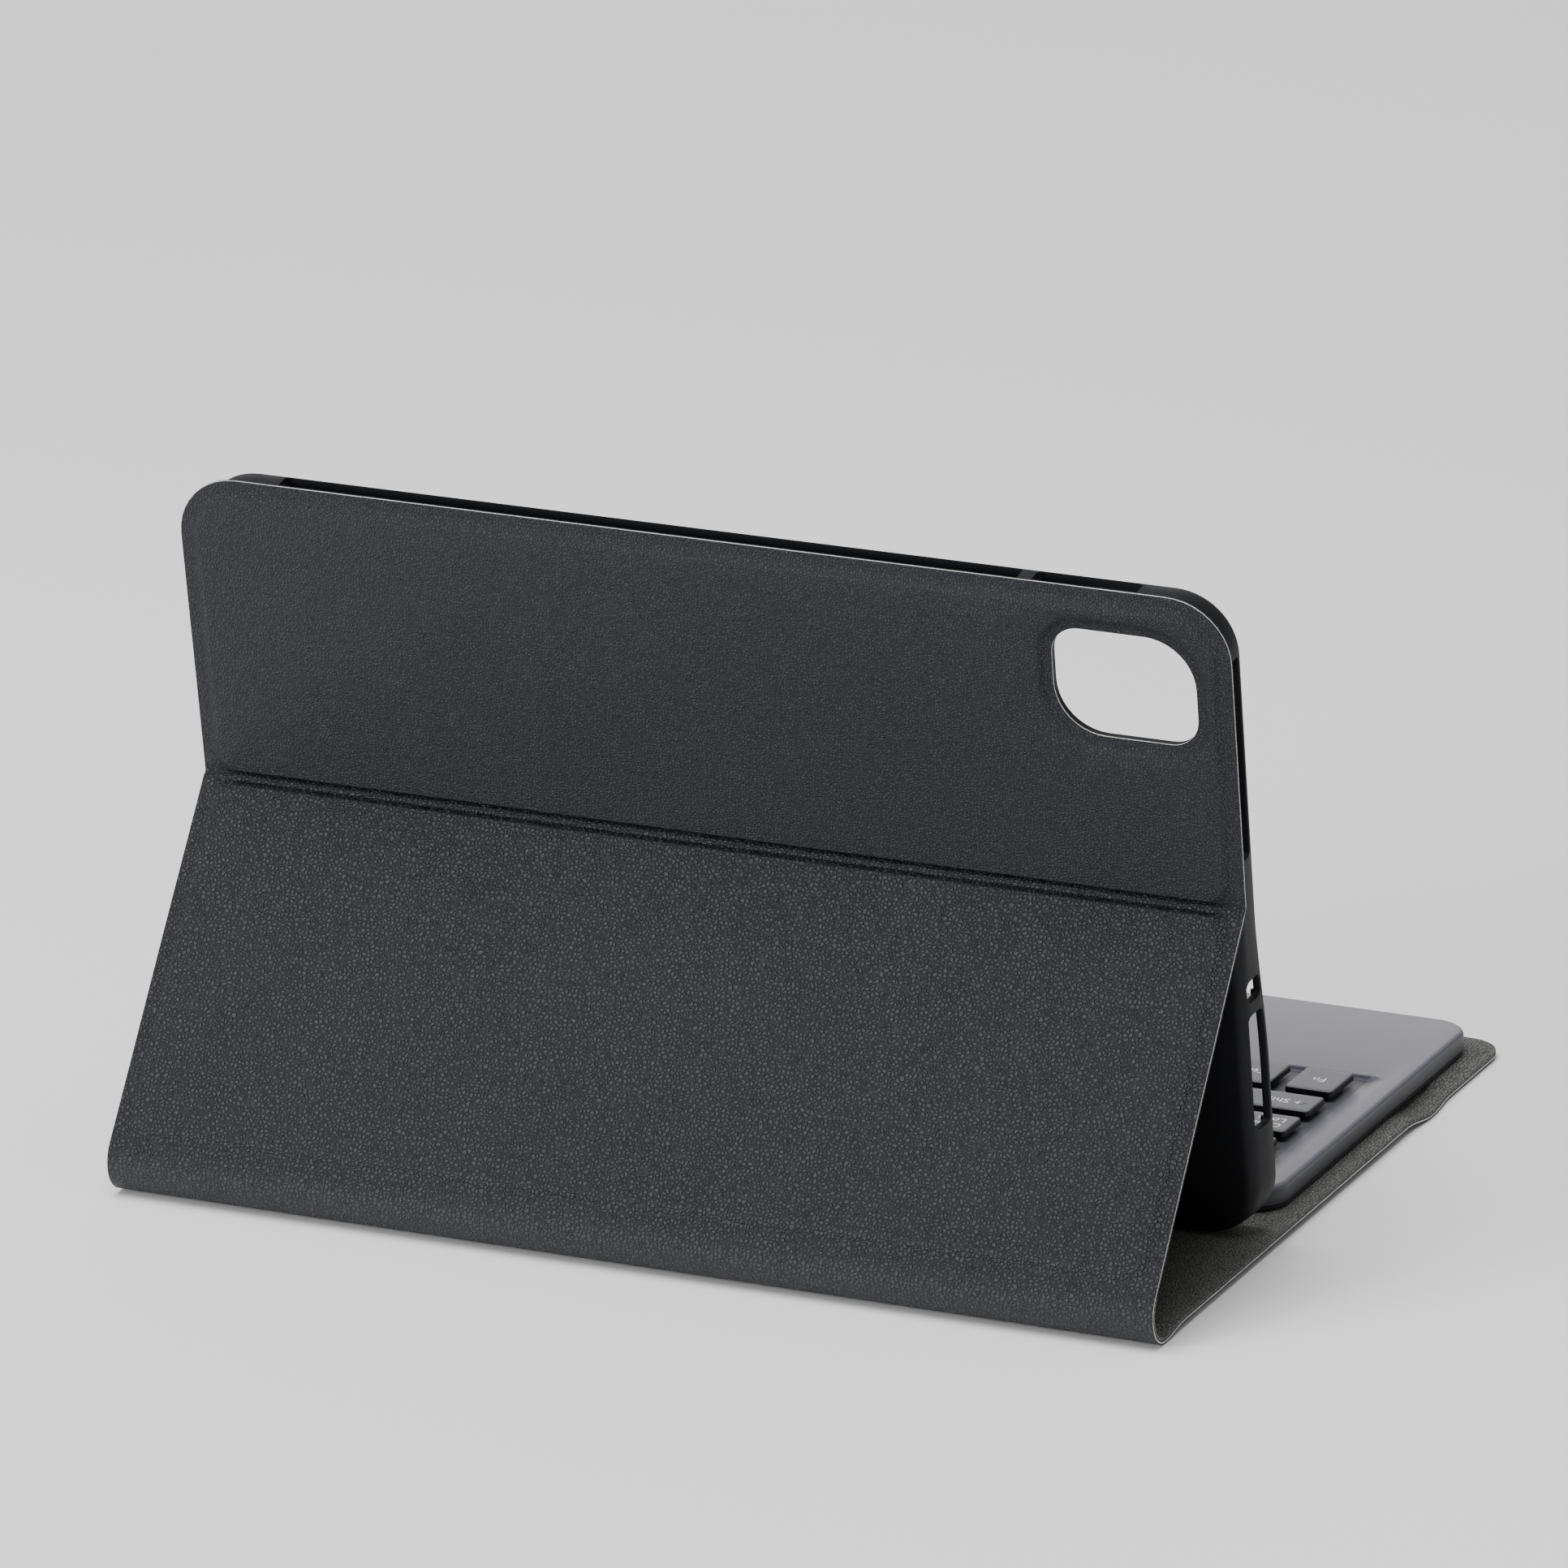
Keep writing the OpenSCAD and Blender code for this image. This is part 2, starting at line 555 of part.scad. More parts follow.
// The up and down keys share one place, one in front of the other
module up_down() {
    half = (front_key_d - 1) / 2;
    each_key(front_row, 0, [8]) for (y = [0, half + 1]) translate([0, y, 0]) {
        $key_d = half;
        cap();
    }
}
module all_keys() {
    each_key(number_row, 4, [0:13]) children();
    each_key(tab_row, 3, [0:13]) children();
    each_key(caps_row, 2, [0:12]) children();
    each_key(shift_row, 1, [0:11]) children();
    each_key(front_row, 0, [0, 1, 2, 3, 4, 5, 6, 7, 9]) children();
}
module key_scissors() color("#e4e4e0") all_keys() translate([$key_w / 2, $key_d / 2, plate_z])
    linear_extrude(scissor_t) difference() {
        square([scissor_w, scissor_d], center = true);
        square([scissor_w - 2 * scissor_bar, scissor_d - 2 * scissor_bar], center = true);
    }
module key_domes() color("#c9c9c4") all_keys() translate([$key_w / 2, $key_d / 2, plate_z])
    cylinder(h = dome_t, r1 = dome_r, r2 = dome_tip_r);

module number_keys() keys(number_row, 4, [0:12]);
module backspace_key() keys(number_row, 4, [13]);
module tab_key() keys(tab_row, 3, [0]);
module upper_letter_keys() keys(tab_row, 3, [1:13]);
module caps_lock_key() keys(caps_row, 2, [0]);
module home_letter_keys() keys(caps_row, 2, [1:11]);
module enter_key() keys(caps_row, 2, [12]);
module left_shift_key() keys(shift_row, 1, [0]);
module lower_letter_keys() keys(shift_row, 1, [1:10]);
module right_shift_key() keys(shift_row, 1, [11]);
module fn_key() keys(front_row, 0, [0]);
module ctrl_key() keys(front_row, 0, [1]);
module symbol_keys() keys(front_row, 0, [2, 3, 5, 6]);
module space_bar() keys(front_row, 0, [4]);
module arrow_keys() {
    keys(front_row, 0, [7, 9]);
    up_down();
}

front_skin();
front_board();
front_lining();
cover_magnets();
flap_skin();
flap_board();
flap_lining();
flap_magnets();
spine_skin_lower();
spine_lining_lower();
spine_skin_upper();
spine_lining_upper();
lower_skin();
lower_board();
lower_lining();
upper_skin();
upper_board();
tray_shell();
keyboard_top_case();
keyboard_bottom_cover();
key_plate();
key_membrane();
key_scissors();
key_domes();
keyboard_batteries();
keyboard_circuit_board();
charging_socket();
status_lens();
keyboard_magnets();
case_screws();
power_switch();
number_keys();
backspace_key();
tab_key();
upper_letter_keys();
caps_lock_key();
home_letter_keys();
enter_key();
left_shift_key();
lower_letter_keys();
right_shift_key();
fn_key();
ctrl_key();
symbol_keys();
space_bar();
arrow_keys();
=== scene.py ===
import json
import math

import bmesh
import bpy
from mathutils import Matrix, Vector, geometry


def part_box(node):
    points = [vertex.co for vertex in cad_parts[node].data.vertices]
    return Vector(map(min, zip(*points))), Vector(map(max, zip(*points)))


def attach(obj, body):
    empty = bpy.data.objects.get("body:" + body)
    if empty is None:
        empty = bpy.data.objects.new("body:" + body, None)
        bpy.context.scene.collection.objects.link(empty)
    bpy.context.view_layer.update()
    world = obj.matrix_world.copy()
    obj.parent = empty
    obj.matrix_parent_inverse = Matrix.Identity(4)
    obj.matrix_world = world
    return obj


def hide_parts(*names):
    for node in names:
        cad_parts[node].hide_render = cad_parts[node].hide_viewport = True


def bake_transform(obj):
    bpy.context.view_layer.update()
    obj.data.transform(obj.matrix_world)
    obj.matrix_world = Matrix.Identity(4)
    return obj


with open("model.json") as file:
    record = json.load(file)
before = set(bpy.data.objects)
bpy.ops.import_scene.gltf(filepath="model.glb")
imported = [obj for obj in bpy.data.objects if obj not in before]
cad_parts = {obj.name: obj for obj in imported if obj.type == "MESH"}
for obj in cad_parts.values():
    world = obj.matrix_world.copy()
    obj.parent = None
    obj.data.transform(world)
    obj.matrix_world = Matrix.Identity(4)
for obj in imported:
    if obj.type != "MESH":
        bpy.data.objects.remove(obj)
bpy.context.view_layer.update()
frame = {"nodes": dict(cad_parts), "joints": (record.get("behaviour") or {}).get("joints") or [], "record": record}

MM = 0.001

# ------------------------------------------------------------------ frame values, in millimetres
JOINT = {j["name"]: j for j in frame["joints"]}


def mm_box(node):
    low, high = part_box(node)
    return [c / MM for c in low], [c / MM for c in high]


def joint_yz(name):
    pos = JOINT[name]["pos_m"]
    return pos[1] / MM, pos[2] / MM


SPINE_HALF = -JOINT["spine_fold"]["range_deg"][0]
PANEL_HEADING = 2 * SPINE_HALF
CREASE_TURN = JOINT["spine_fold"]["range_deg"][0] * next(
    c["ratio"] for c in frame["record"]["behaviour"]["couplings"] if c["joint"] == "crease_fold")
TRAY_HEADING = PANEL_HEADING - CREASE_TURN
CREASE_Y, CREASE_Z = joint_yz("crease_fold")
SPINE_Y = joint_yz("spine_foot_fold")[0]
FOLD_Y = joint_yz("flap_fold")[0]


class Panel:
    """Local frame of a cover panel: x across, s along the panel, w outward from its lining side."""

    def __init__(self, y, z, heading, axis_w):
        a = math.radians(heading)
        self.origin = (y, z)
        self.along = (math.cos(a), math.sin(a))
        self.out = (math.sin(a), -math.cos(a))
        self.axis_w = axis_w

    def yz(self, s, w):
        h = w - self.axis_w
        return (self.origin[0] + s * self.along[0] + h * self.out[0],
                self.origin[1] + s * self.along[1] + h * self.out[1])

    def world(self, x, s, w):
        y, z = self.yz(s, w)
        return Vector((x, y, z)) * MM

    def local_points(self, node):
        """The vertices of a CAD node as (x, s, w) in this frame."""
        points = []
        for vert in frame["nodes"][node].data.vertices:
            x, y, z = (c / MM for c in vert.co)
            dy, dz = y - self.origin[0], z - self.origin[1]
            points.append((x, dy * self.along[0] + dz * self.along[1],
                           dy * self.out[0] + dz * self.out[1] + self.axis_w))
        return points

    def local_box(self, node):
        """Lowest and highest (x, s, w) of a CAD node in this frame."""
        points = self.local_points(node)
        return ([min(p[i] for p in points) for i in range(3)],
                [max(p[i] for p in points) for i in range(3)])


# The flap lies flat: the skin is under its board, the lining on top
BOARD_LOW, BOARD_HIGH = mm_box("flap_board")
BOARD_T = BOARD_HIGH[2] - BOARD_LOW[2]
LAMINATE_T = BOARD_HIGH[2]
SKIN_T = LAMINATE_T - BOARD_T
LINING_T = mm_box("front_lining")[1][2] - LAMINATE_T
UPPER = Panel(CREASE_Y, CREASE_Z, TRAY_HEADING, SKIN_T / 2)
LOWER = Panel(CREASE_Y, CREASE_Z, PANEL_HEADING, -SKIN_T / 2)
FRONT = Panel(0, LAMINATE_T, 0, 0)
CASE_X = mm_box("upper_skin")[1][0]
SPINE_R = joint_yz("spine_top_fold")[1] / (1 - math.cos(math.radians(PANEL_HEADING)))


# ------------------------------------------------------------------ outlines
class Outline:
    """Rectangle with its own radius at each corner: low left, low right, high right, high left."""

    def __init__(self, x0, y0, x1, y1, radii):
        self.x0, self.y0, self.x1, self.y1 = x0, y0, x1, y1
        self.radii = [max(r, 0.02) for r in radii]

    def grow(self, d):
        return Outline(self.x0 - d, self.y0 - d, self.x1 + d, self.y1 + d,
                       [r + d for r in self.radii])

    def corners(self):
        r = self.radii
        return [(self.x0 + r[0], self.y0 + r[0], r[0], 180), (self.x1 - r[1], self.y0 + r[1], r[1], 270),
                (self.x1 - r[2], self.y1 - r[2], r[2], 0), (self.x0 + r[3], self.y1 - r[3], r[3], 90)]

    def loop(self, side_step=4.0, corner_n=10, counts=None):
        """Points anticlockwise; counts fixes the number along each side, so that loops match."""
        corners = self.corners()
        points = []
        for i, (cx, cy, r, start) in enumerate(corners):
            for k in range(corner_n + 1):
                a = math.radians(start + 90 * k / corner_n)
                points.append((cx + r * math.cos(a), cy + r * math.sin(a)))
            nx, ny, nr, nstart = corners[(i + 1) % 4]
            a = math.radians(nstart)
            end = (nx + nr * math.cos(a), ny + nr * math.sin(a))
            begin = points[-1]
            length = math.dist(begin, end)
            n = counts[i] if counts else max(1, int(length / side_step))
            for k in range(1, n):
                points.append((begin[0] + (end[0] - begin[0]) * k / n,
                               begin[1] + (end[1] - begin[1]) * k / n))
        return points

    def side_counts(self, side_step):
        spans = [self.x1 - self.x0, self.y1 - self.y0, self.x1 - self.x0, self.y1 - self.y0]
        return [max(1, int(span / side_step)) for span in spans]

    def outside(self, x, y):
        """Signed distance: negative inside."""
        cx, cy = (self.x0 + self.x1) / 2, (self.y0 + self.y1) / 2
        right, high = x > cx, y > cy
        r = self.radii[2 if right and high else 1 if right else 3 if high else 0]
        qx = abs(x - cx) - (self.x1 - self.x0) / 2 + r
        qy = abs(y - cy) - (self.y1 - self.y0) / 2 + r
        return min(max(qx, qy), 0) + math.hypot(max(qx, 0), max(qy, 0)) - r


def smooth(t):
    t = min(max(t, 0.0), 1.0)
    return t * t * (3 - 2 * t)


def wobble(x, s, wave, seed=0.0):
    """A slow unevenness from -1 to 1, over waves of about the given length."""
    k = 2 * math.pi / wave
    return (math.sin(k * x + 1.3 * seed) + math.sin(k * (0.6 * x + 0.8 * s) + 2.1 + seed)
            + math.sin(k * (0.5 * s - 0.7 * x) * 1.7 + 4.0 * seed)) / 3


# ------------------------------------------------------------------ mesh making
def make_piece(name, verts, faces, materials, face_slots=None, sharp=40):
    mesh = bpy.data.meshes.new(name)
    mesh.from_pydata([tuple(v) for v in verts], [], faces)
    for material in materials:
        mesh.materials.append(material)
    if face_slots:
        mesh.polygons.foreach_set("material_index", face_slots)
    mesh.polygons.foreach_set("use_smooth", [True] * len(mesh.polygons))
    mesh.validate()
    piece = bpy.data.objects.new(name, mesh)
    bpy.context.scene.collection.objects.link(piece)
    bm = bmesh.new()
    bm.from_mesh(mesh)
    bmesh.ops.recalc_face_normals(bm, faces=bm.faces)
    bm.to_mesh(mesh)
    bm.free()
    mesh.set_sharp_from_angle(angle=math.radians(sharp))
    return piece


def triangulate(loops, keep, spacing, box, clear):
    """Plane triangles over closed loops and a loose inner grid, kept where keep(x, y) is true."""
    points, edges = [], []
    for loop in loops:
        first = len(points)
        points += loop
        edges += [(first + i, first + (i + 1) % len(loop)) for i in range(len(loop))]
    x0, y0, x1, y1 = box
    nx, ny = max(1, int((x1 - x0) / spacing)), max(1, int((y1 - y0) / spacing))
    for i in range(1, nx):
        for j in range(1, ny):
            p = (x0 + (x1 - x0) * (i + 0.5 * (j % 2)) / nx, y0 + (y1 - y0) * j / ny)
            if keep(*p) and clear(*p):
                points.append(p)
    verts, _, faces = geometry.delaunay_2d_cdt(
        [Vector(p) for p in points], edges, [], 0, 1e-4)[:3]
    kept = []
    for face in faces:
        cx = sum(verts[i][0] for i in face) / 3
        cy = sum(verts[i][1] for i in face) / 3
        if keep(cx, cy):
            kept.append(tuple(face))
    return [(v[0], v[1]) for v in verts], kept


def boundary_edges(faces):
    """Edges with one face, in that face's direction."""
    seen = {}
    for face in faces:
        for i, a in enumerate(face):
            b = face[(i + 1) % len(face)]
            if (b, a) in seen:
                del seen[(b, a)]
            else:
                seen[(a, b)] = True
    return list(seen)


# Shares of a sheet's thickness at the lines round its cut edge; the middle band shows the raw core
RIM = [0.0, 0.3, 0.56, 1.0]


def cut_sheet(name, place, outline, loops, keep, outer, inner, materials, spacing=7.0, margin=2.5):
    """A closed sheet: outer(x, s) and inner(x, s) are its two faces' heights, place() puts it.
    materials are the outer face, the cut line and the inner face."""
    x0, y0, x1, y1 = outline.x0, outline.y0, outline.x1, outline.y1

    def clear(x, y):
        return all(abs(test.outside(x, y)) > margin for test in loops)

    points, faces = triangulate([o.loop(3.0) for o in loops], keep, spacing, (x0, y0, x1, y1), clear)
    verts = [place(x, s, outer(x, s)) for x, s in points]
    slots = [0] * len(faces)
    all_faces = list(faces)
    edges = boundary_edges(faces)
    rim_points = sorted({i for edge in edges for i in edge})
    levels = [{i: i for i in rim_points}]
    for share in RIM[1:]:
        level = {}
        for i in rim_points:
            x, s = points[i]
            level[i] = len(verts)
            cut = share if share == 1.0 else share + 0.05 * wobble(x, s, 11, share)
            verts.append(place(x, s, outer(x, s) * (1 - cut) + inner(x, s) * cut))
        levels.append(level)
    for slot, (upper, lower) in enumerate(zip(levels, levels[1:])):
        for a, b in edges:
            all_faces.append((upper[b], upper[a], lower[a], lower[b]))
            slots.append(slot)
    inner_of = dict(levels[-1])
    for i, (x, s) in enumerate(points):
        if i not in inner_of:
            inner_of[i] = len(verts)
            verts.append(place(x, s, inner(x, s)))
    for face in faces:
        all_faces.append(tuple(inner_of[i] for i in reversed(face)))
        slots.append(2)
    return make_piece(name, verts, all_faces, materials, slots)


def loft(name, place, stations, materials, slots=None, side_step=6.0, corner_n=10, caps=(True, True),
         sharp=40):
    """Skin over matching outlines. stations are (outline, height); slots give each band's material."""
    counts = stations[0][0].side_counts(side_step)
    verts, faces, face_slots = [], [], []
    for outline, w in stations:
        verts += [place(x, s, w) for x, s in outline.loop(corner_n=corner_n, counts=counts)]
    n = len(verts) // len(stations)
    for k in range(len(stations) - 1):
        for i in range(n):
            j = (i + 1) % n
            faces.append((k * n + i, k * n + j, (k + 1) * n + j, (k + 1) * n + i))
            face_slots.append(slots[k] if slots else 0)
    if caps[0]:
        faces.append(tuple(reversed(range(n))))
        face_slots.append(slots[0] if slots else 0)
    if caps[1]:
        faces.append(tuple(range((len(stations) - 1) * n, len(stations) * n)))
        face_slots.append(slots[-1] if slots else 0)
    return make_piece(name, verts, faces, materials, face_slots, sharp)


def cut_away(piece, cutters):
    """Cuts closed shapes out of a piece and removes them."""
    bpy.context.view_layer.objects.active = piece
    for cutter in cutters:
        modifier = piece.modifiers.new("cut", "BOOLEAN")
        modifier.object = cutter
        modifier.operation = "DIFFERENCE"
        modifier.solver = "EXACT"
        bpy.ops.object.modifier_apply(modifier=modifier.name)
        bpy.data.objects.remove(cutter)


# ------------------------------------------------------------------ materials
def new_material(name, color, roughness, specular=0.5):
    material = bpy.data.materials.new(name)
    material.use_nodes = True
    shader = material.node_tree.nodes["Principled BSDF"]
    shader.inputs["Base Color"].default_value = (*color, 1)
    shader.inputs["Roughness"].default_value = roughness
    shader.inputs["Specular IOR Level"].default_value = specular
    return material, material.node_tree, shader


def add(tree, kind, inputs=None, **settings):
    node = tree.nodes.new(kind)
    for key, value in settings.items():
        setattr(node, key, value)
    for key, value in (inputs or {}).items():
        if hasattr(value, "is_output"):
            tree.links.new(value, node.inputs[key])
        else:
            node.inputs[key].default_value = value
    return node


def coords(tree):
    return add(tree, "ShaderNodeTexCoord").outputs["Object"]


def color_ramp(tree, source, stops):
    ramp = add(tree, "ShaderNodeValToRGB", {"Fac": source})
    elements = ramp.color_ramp.elements
    elements[0].position, elements[0].color = stops[0][0], (*stops[0][1], 1)
    elements[1].position, elements[1].color = stops[-1][0], (*stops[-1][1], 1)
    for position, color in stops[1:-1]:
        elements.new(position).color = (*color, 1)
    return ramp.outputs["Color"]


def scaled(color, k):
    return tuple(min(1, c * k) for c in color)


def grained(name, color, cell, depth, roughness, spread=0.10, mottle=0.10, specular=0.4):
    """Pebbled leather or cloth: cells of the given size in millimetres, with creases between."""
    material, tree, shader = new_material(name, color, roughness, specular)
    at = coords(tree)
    warp = add(tree, "ShaderNodeTexNoise", {"Vector": at, "Scale": 1 / (cell * 2.2 * MM), "Detail": 1.0})
    warped = add(tree, "ShaderNodeMixRGB", {"Color1": at, "Color2": warp.outputs["Color"], "Fac": 0.0006})
    cells = add(tree, "ShaderNodeTexVoronoi",
                {"Vector": warped.outputs["Color"], "Scale": 1 / (cell * MM), "Randomness": 0.9},
                feature="DISTANCE_TO_EDGE")
    crease = add(tree, "ShaderNodeMapRange",
                 {"Value": cells.outputs["Distance"], "From Min": 0.02, "From Max": 0.24})
    crease.interpolation_type = "SMOOTHSTEP"
    fine = add(tree, "ShaderNodeTexNoise", {"Vector": at, "Scale": 1 / (cell * 0.35 * MM), "Detail": 3.0})
    broad = add(tree, "ShaderNodeTexNoise", {"Vector": at, "Scale": 28.0, "Detail": 4.0})
    height = add(tree, "ShaderNodeMath", {0: crease.outputs["Result"], 1: fine.outputs["Fac"]},
                 operation="ADD")
    bump = add(tree, "ShaderNodeBump",
               {"Height": height.outputs[0], "Distance": depth * MM, "Strength": 1.0})
    tree.links.new(bump.outputs["Normal"], shader.inputs["Normal"])
    tone = color_ramp(tree, crease.outputs["Result"],
                      [(0.0, scaled(color, 1 - spread * 2)), (1.0, scaled(color, 1 + spread))])
    patch = color_ramp(tree, broad.outputs["Fac"], [(0.3, (1 - mottle,) * 3), (0.7, (1 + mottle,) * 3)])
    mix = add(tree, "ShaderNodeMixRGB", {"Color1": tone, "Color2": patch, "Fac": 1.0},
              blend_type="MULTIPLY")
    tree.links.new(mix.outputs["Color"], shader.inputs["Base Color"])
    shine = add(tree, "ShaderNodeMapRange",
                {"Value": broad.outputs["Fac"], "To Min": roughness - 0.06, "To Max": roughness + 0.06})
    tree.links.new(shine.outputs["Result"], shader.inputs["Roughness"])
    return material


def moulded(name, color, roughness, speck=0.12, depth=0.02, specular=0.5, grain=0.25):
    """Moulded plastic or rubber: fine sparkle texture, slight tone changes and worn gloss."""
    material, tree, shader = new_material(name, color, roughness, specular)
    at = coords(tree)
    fine = add(tree, "ShaderNodeTexNoise", {"Vector": at, "Scale": 1 / (grain * MM), "Detail": 2.0})
    broad = add(tree, "ShaderNodeTexNoise", {"Vector": at, "Scale": 22.0, "Detail": 3.0})
    bump = add(tree, "ShaderNodeBump",
               {"Height": fine.outputs["Fac"], "Distance": depth * MM, "Strength": 1.0})
    tree.links.new(bump.outputs["Normal"], shader.inputs["Normal"])
    tone = color_ramp(tree, fine.outputs["Fac"],
                      [(0.3, scaled(color, 1 - speck)), (0.7, scaled(color, 1 + speck))])
    patch = color_ramp(tree, broad.outputs["Fac"], [(0.3, (0.95,) * 3), (0.7, (1.04,) * 3)])
    mix = add(tree, "ShaderNodeMixRGB", {"Color1": tone, "Color2": patch, "Fac": 1.0},
              blend_type="MULTIPLY")
    tree.links.new(mix.outputs["Color"], shader.inputs["Base Color"])
    shine = add(tree, "ShaderNodeMapRange",
                {"Value": broad.outputs["Fac"], "To Min": roughness - 0.05, "To Max": roughness + 0.05})
    tree.links.new(shine.outputs["Result"], shader.inputs["Roughness"])
    return material


def metal(name, color, roughness, streak=40.0):
    """Metal with fine drawn streaks along X."""
    material, tree, shader = new_material(name, color, roughness)
    shader.inputs["Metallic"].default_value = 1.0
    at = coords(tree)
    stretch = add(tree, "ShaderNodeMapping", {"Vector": at, "Scale": (streak, 3000, 3000)})
    lines = add(tree, "ShaderNodeTexNoise", {"Vector": stretch.outputs["Vector"], "Scale": 1.0})
    shine = add(tree, "ShaderNodeMapRange",
                {"Value": lines.outputs["Fac"], "To Min": roughness - 0.08, "To Max": roughness + 0.1})
    tree.links.new(shine.outputs["Result"], shader.inputs["Roughness"])
    tone = color_ramp(tree, lines.outputs["Fac"], [(0.3, scaled(color, 0.9)), (0.7, scaled(color, 1.05))])
    tree.links.new(tone, shader.inputs["Base Color"])
    return material


LEATHER = grained("leather_upper", (0.0130, 0.0137, 0.0192), 0.72, 0.24, 0.47, spread=0.3,
                  specular=0.38)
ROUGH_LEATHER = grained("leather_lower", (0.0148, 0.0158, 0.0218), 0.98, 0.46, 0.44, spread=0.42,
                        specular=0.5)
CUT_EDGE = moulded("cut_edge", (0.66, 0.66, 0.65), 0.8, speck=0.3, grain=0.6)
LINING = grained("lining_cloth", (0.135, 0.135, 0.126), 0.85, 0.24, 0.75, spread=0.3, specular=0.25)
TRAY_RUBBER = moulded("tray_tpu", (0.0055, 0.0058, 0.0075), 0.55, speck=0.1, depth=0.01,
                      specular=0.18)
KEYBOARD = moulded("keyboard_case", (0.105, 0.101, 0.130), 0.38, speck=0.14, depth=0.016,
                   specular=0.42)
# Painted shade: the keyboard case is one colour; these two are darker copies of it, one for its side in shade and
# one for a half-shaded band at its top edge
KEYBOARD_SIDE_SHADE = moulded("keyboard_side", (0.030, 0.030, 0.038), 0.42, speck=0.14, depth=0.016,
                        specular=0.35)
KEYBOARD_EDGE_HALF_SHADE = moulded("keyboard_edge_painted_half_shade", (0.062, 0.061, 0.078), 0.38, speck=0.14, depth=0.016,
                        specular=0.42)
KEYBOARD_BASE = moulded("keyboard_base", (0.020, 0.021, 0.026), 0.45, specular=0.3)
# Painted shade: the key plate is the case's grey plastic, darkened here to stand in for the shade in the recessed
# key well
SHADED_KEY_PLATE = moulded("key_plate_painted_shade", (0.055, 0.056, 0.068), 0.5, speck=0.12)
KEY_TOP = moulded("key_top", (0.058, 0.058, 0.068), 0.42, speck=0.08, depth=0.008)
KEY_SKIRT = moulded("key_skirt", (0.004, 0.004, 0.005), 0.2, speck=0.05, depth=0.003, specular=0.3)
LEGEND = moulded("key_legend", (0.80, 0.80, 0.82), 0.5, speck=0.03)
BOARD = grained("pressed_board", (0.50, 0.45, 0.37), 1.6, 0.05, 0.9, spread=0.06)
MEMBRANE = moulded("membrane_film", (0.02, 0.02, 0.022), 0.2)
SCISSOR = moulded("scissor_plastic", (0.30, 0.30, 0.30), 0.4)
DOME = moulded("dome_rubber", (0.35, 0.35, 0.34), 0.5)
BATTERY = metal("battery_foil", (0.60, 0.62, 0.65), 0.35)
CIRCUIT = moulded("solder_mask", (0.02, 0.10, 0.05), 0.3)
STEEL = metal("drawn_steel", (0.62, 0.62, 0.63), 0.3)
DARK_STEEL = metal("zinc_screw", (0.35, 0.35, 0.36), 0.35)
MAGNET = metal("nickel", (0.66, 0.65, 0.62), 0.2)
LENS = moulded("lens", (0.75, 0.82, 0.85), 0.15)

CAD_LOOKS = {
    "front_board": BOARD, "flap_board": BOARD, "lower_board": BOARD, "upper_board": BOARD,
    "cover_magnets": MAGNET, "flap_magnets": MAGNET, "keyboard_magnets": MAGNET,
    "key_plate": SHADED_KEY_PLATE, "key_membrane": MEMBRANE, "key_scissors": SCISSOR, "key_domes": DOME,
    "keyboard_batteries": BATTERY, "keyboard_circuit_board": CIRCUIT, "charging_socket": STEEL,
    "status_lens": LENS, "case_screws": DARK_STEEL, "power_switch": KEYBOARD_BASE,
}
for node_name, look in CAD_LOOKS.items():
    data = frame["nodes"][node_name].data
    data.materials.clear()
    data.materials.append(look)


# ------------------------------------------------------------------ shared surfaces
def slope(distance, start, width):
    """1 before start, 0 after start + width, smooth between."""
    return 1 - smooth((distance - start) / width)


BASE_W = SKIN_T
TOP_W = SKIN_T + BOARD_T
GROOVE_W = 0.3
CREASE_HALF = 1.5
END_GAP = 0.3                # left in CAD between the lower panel and the spine, closed here
EDGE_WIDE = 2.9              # of the skin's slope down a board's side
RIM_PLAIN = 9                # stretch at the case's sides where the crease fades out
RIM_FADE = 6
BOARD_RINGS = (-0.5, 0.0, 0.5, 1.0, 1.5, 2.0, 2.5)      # mesh lines down a board's side
CREASE_LINES = (-0.6, -0.3, 0.0, 0.3)                   # mesh lines along a board's crease edge


def away_from_rims(x):
    """1 over most of the case's width, 0 at its two sides."""
    return 1 - smooth((abs(x) - (CASE_X - RIM_PLAIN)) / RIM_FADE)


def foot(x, away):
    """Height of the skin between the boards: it is drawn in at the crease, but not at the rims."""
    return BASE_W - (BASE_W - GROOVE_W) * slope(away, CREASE_HALF, 2.0) * away_from_rims(x)


def board_outline(panel, node, radii):
    low, high = panel.local_box(node)
    return Outline(low[0], low[1], high[0], high[1], radii)


UPPER_LEN = UPPER.local_box("upper_skin")[1][1]
LOWER_START = LOWER.local_box("lower_skin")[0][1] - END_GAP
TRAY_LOW, TRAY_HIGH = UPPER.local_box("tray_shell")
TRAY_CORNER = 14.5
TRAY = Outline(TRAY_LOW[0], TRAY_LOW[1], TRAY_HIGH[0], TRAY_HIGH[1], [TRAY_CORNER] * 4)
TRAY_DEPTH = -TRAY_LOW[2]
TRAY_POINTS = UPPER.local_points("tray_shell")

# The camera hole is the only thing in the tray's rear face well inside its outline
HOLE_POINTS = [p for p in TRAY_POINTS if abs(p[2]) < 0.02 and TRAY.outside(p[0], p[1]) < -4]
CAMERA = Outline(min(p[0] for p in HOLE_POINTS), min(p[1] for p in HOLE_POINTS),
                 max(p[0] for p in HOLE_POINTS), max(p[1] for p in HOLE_POINTS),
                 [7, 12, 7, 12])
CAMERA_BORDER = 3.0          # the board stops this far from the camera hole

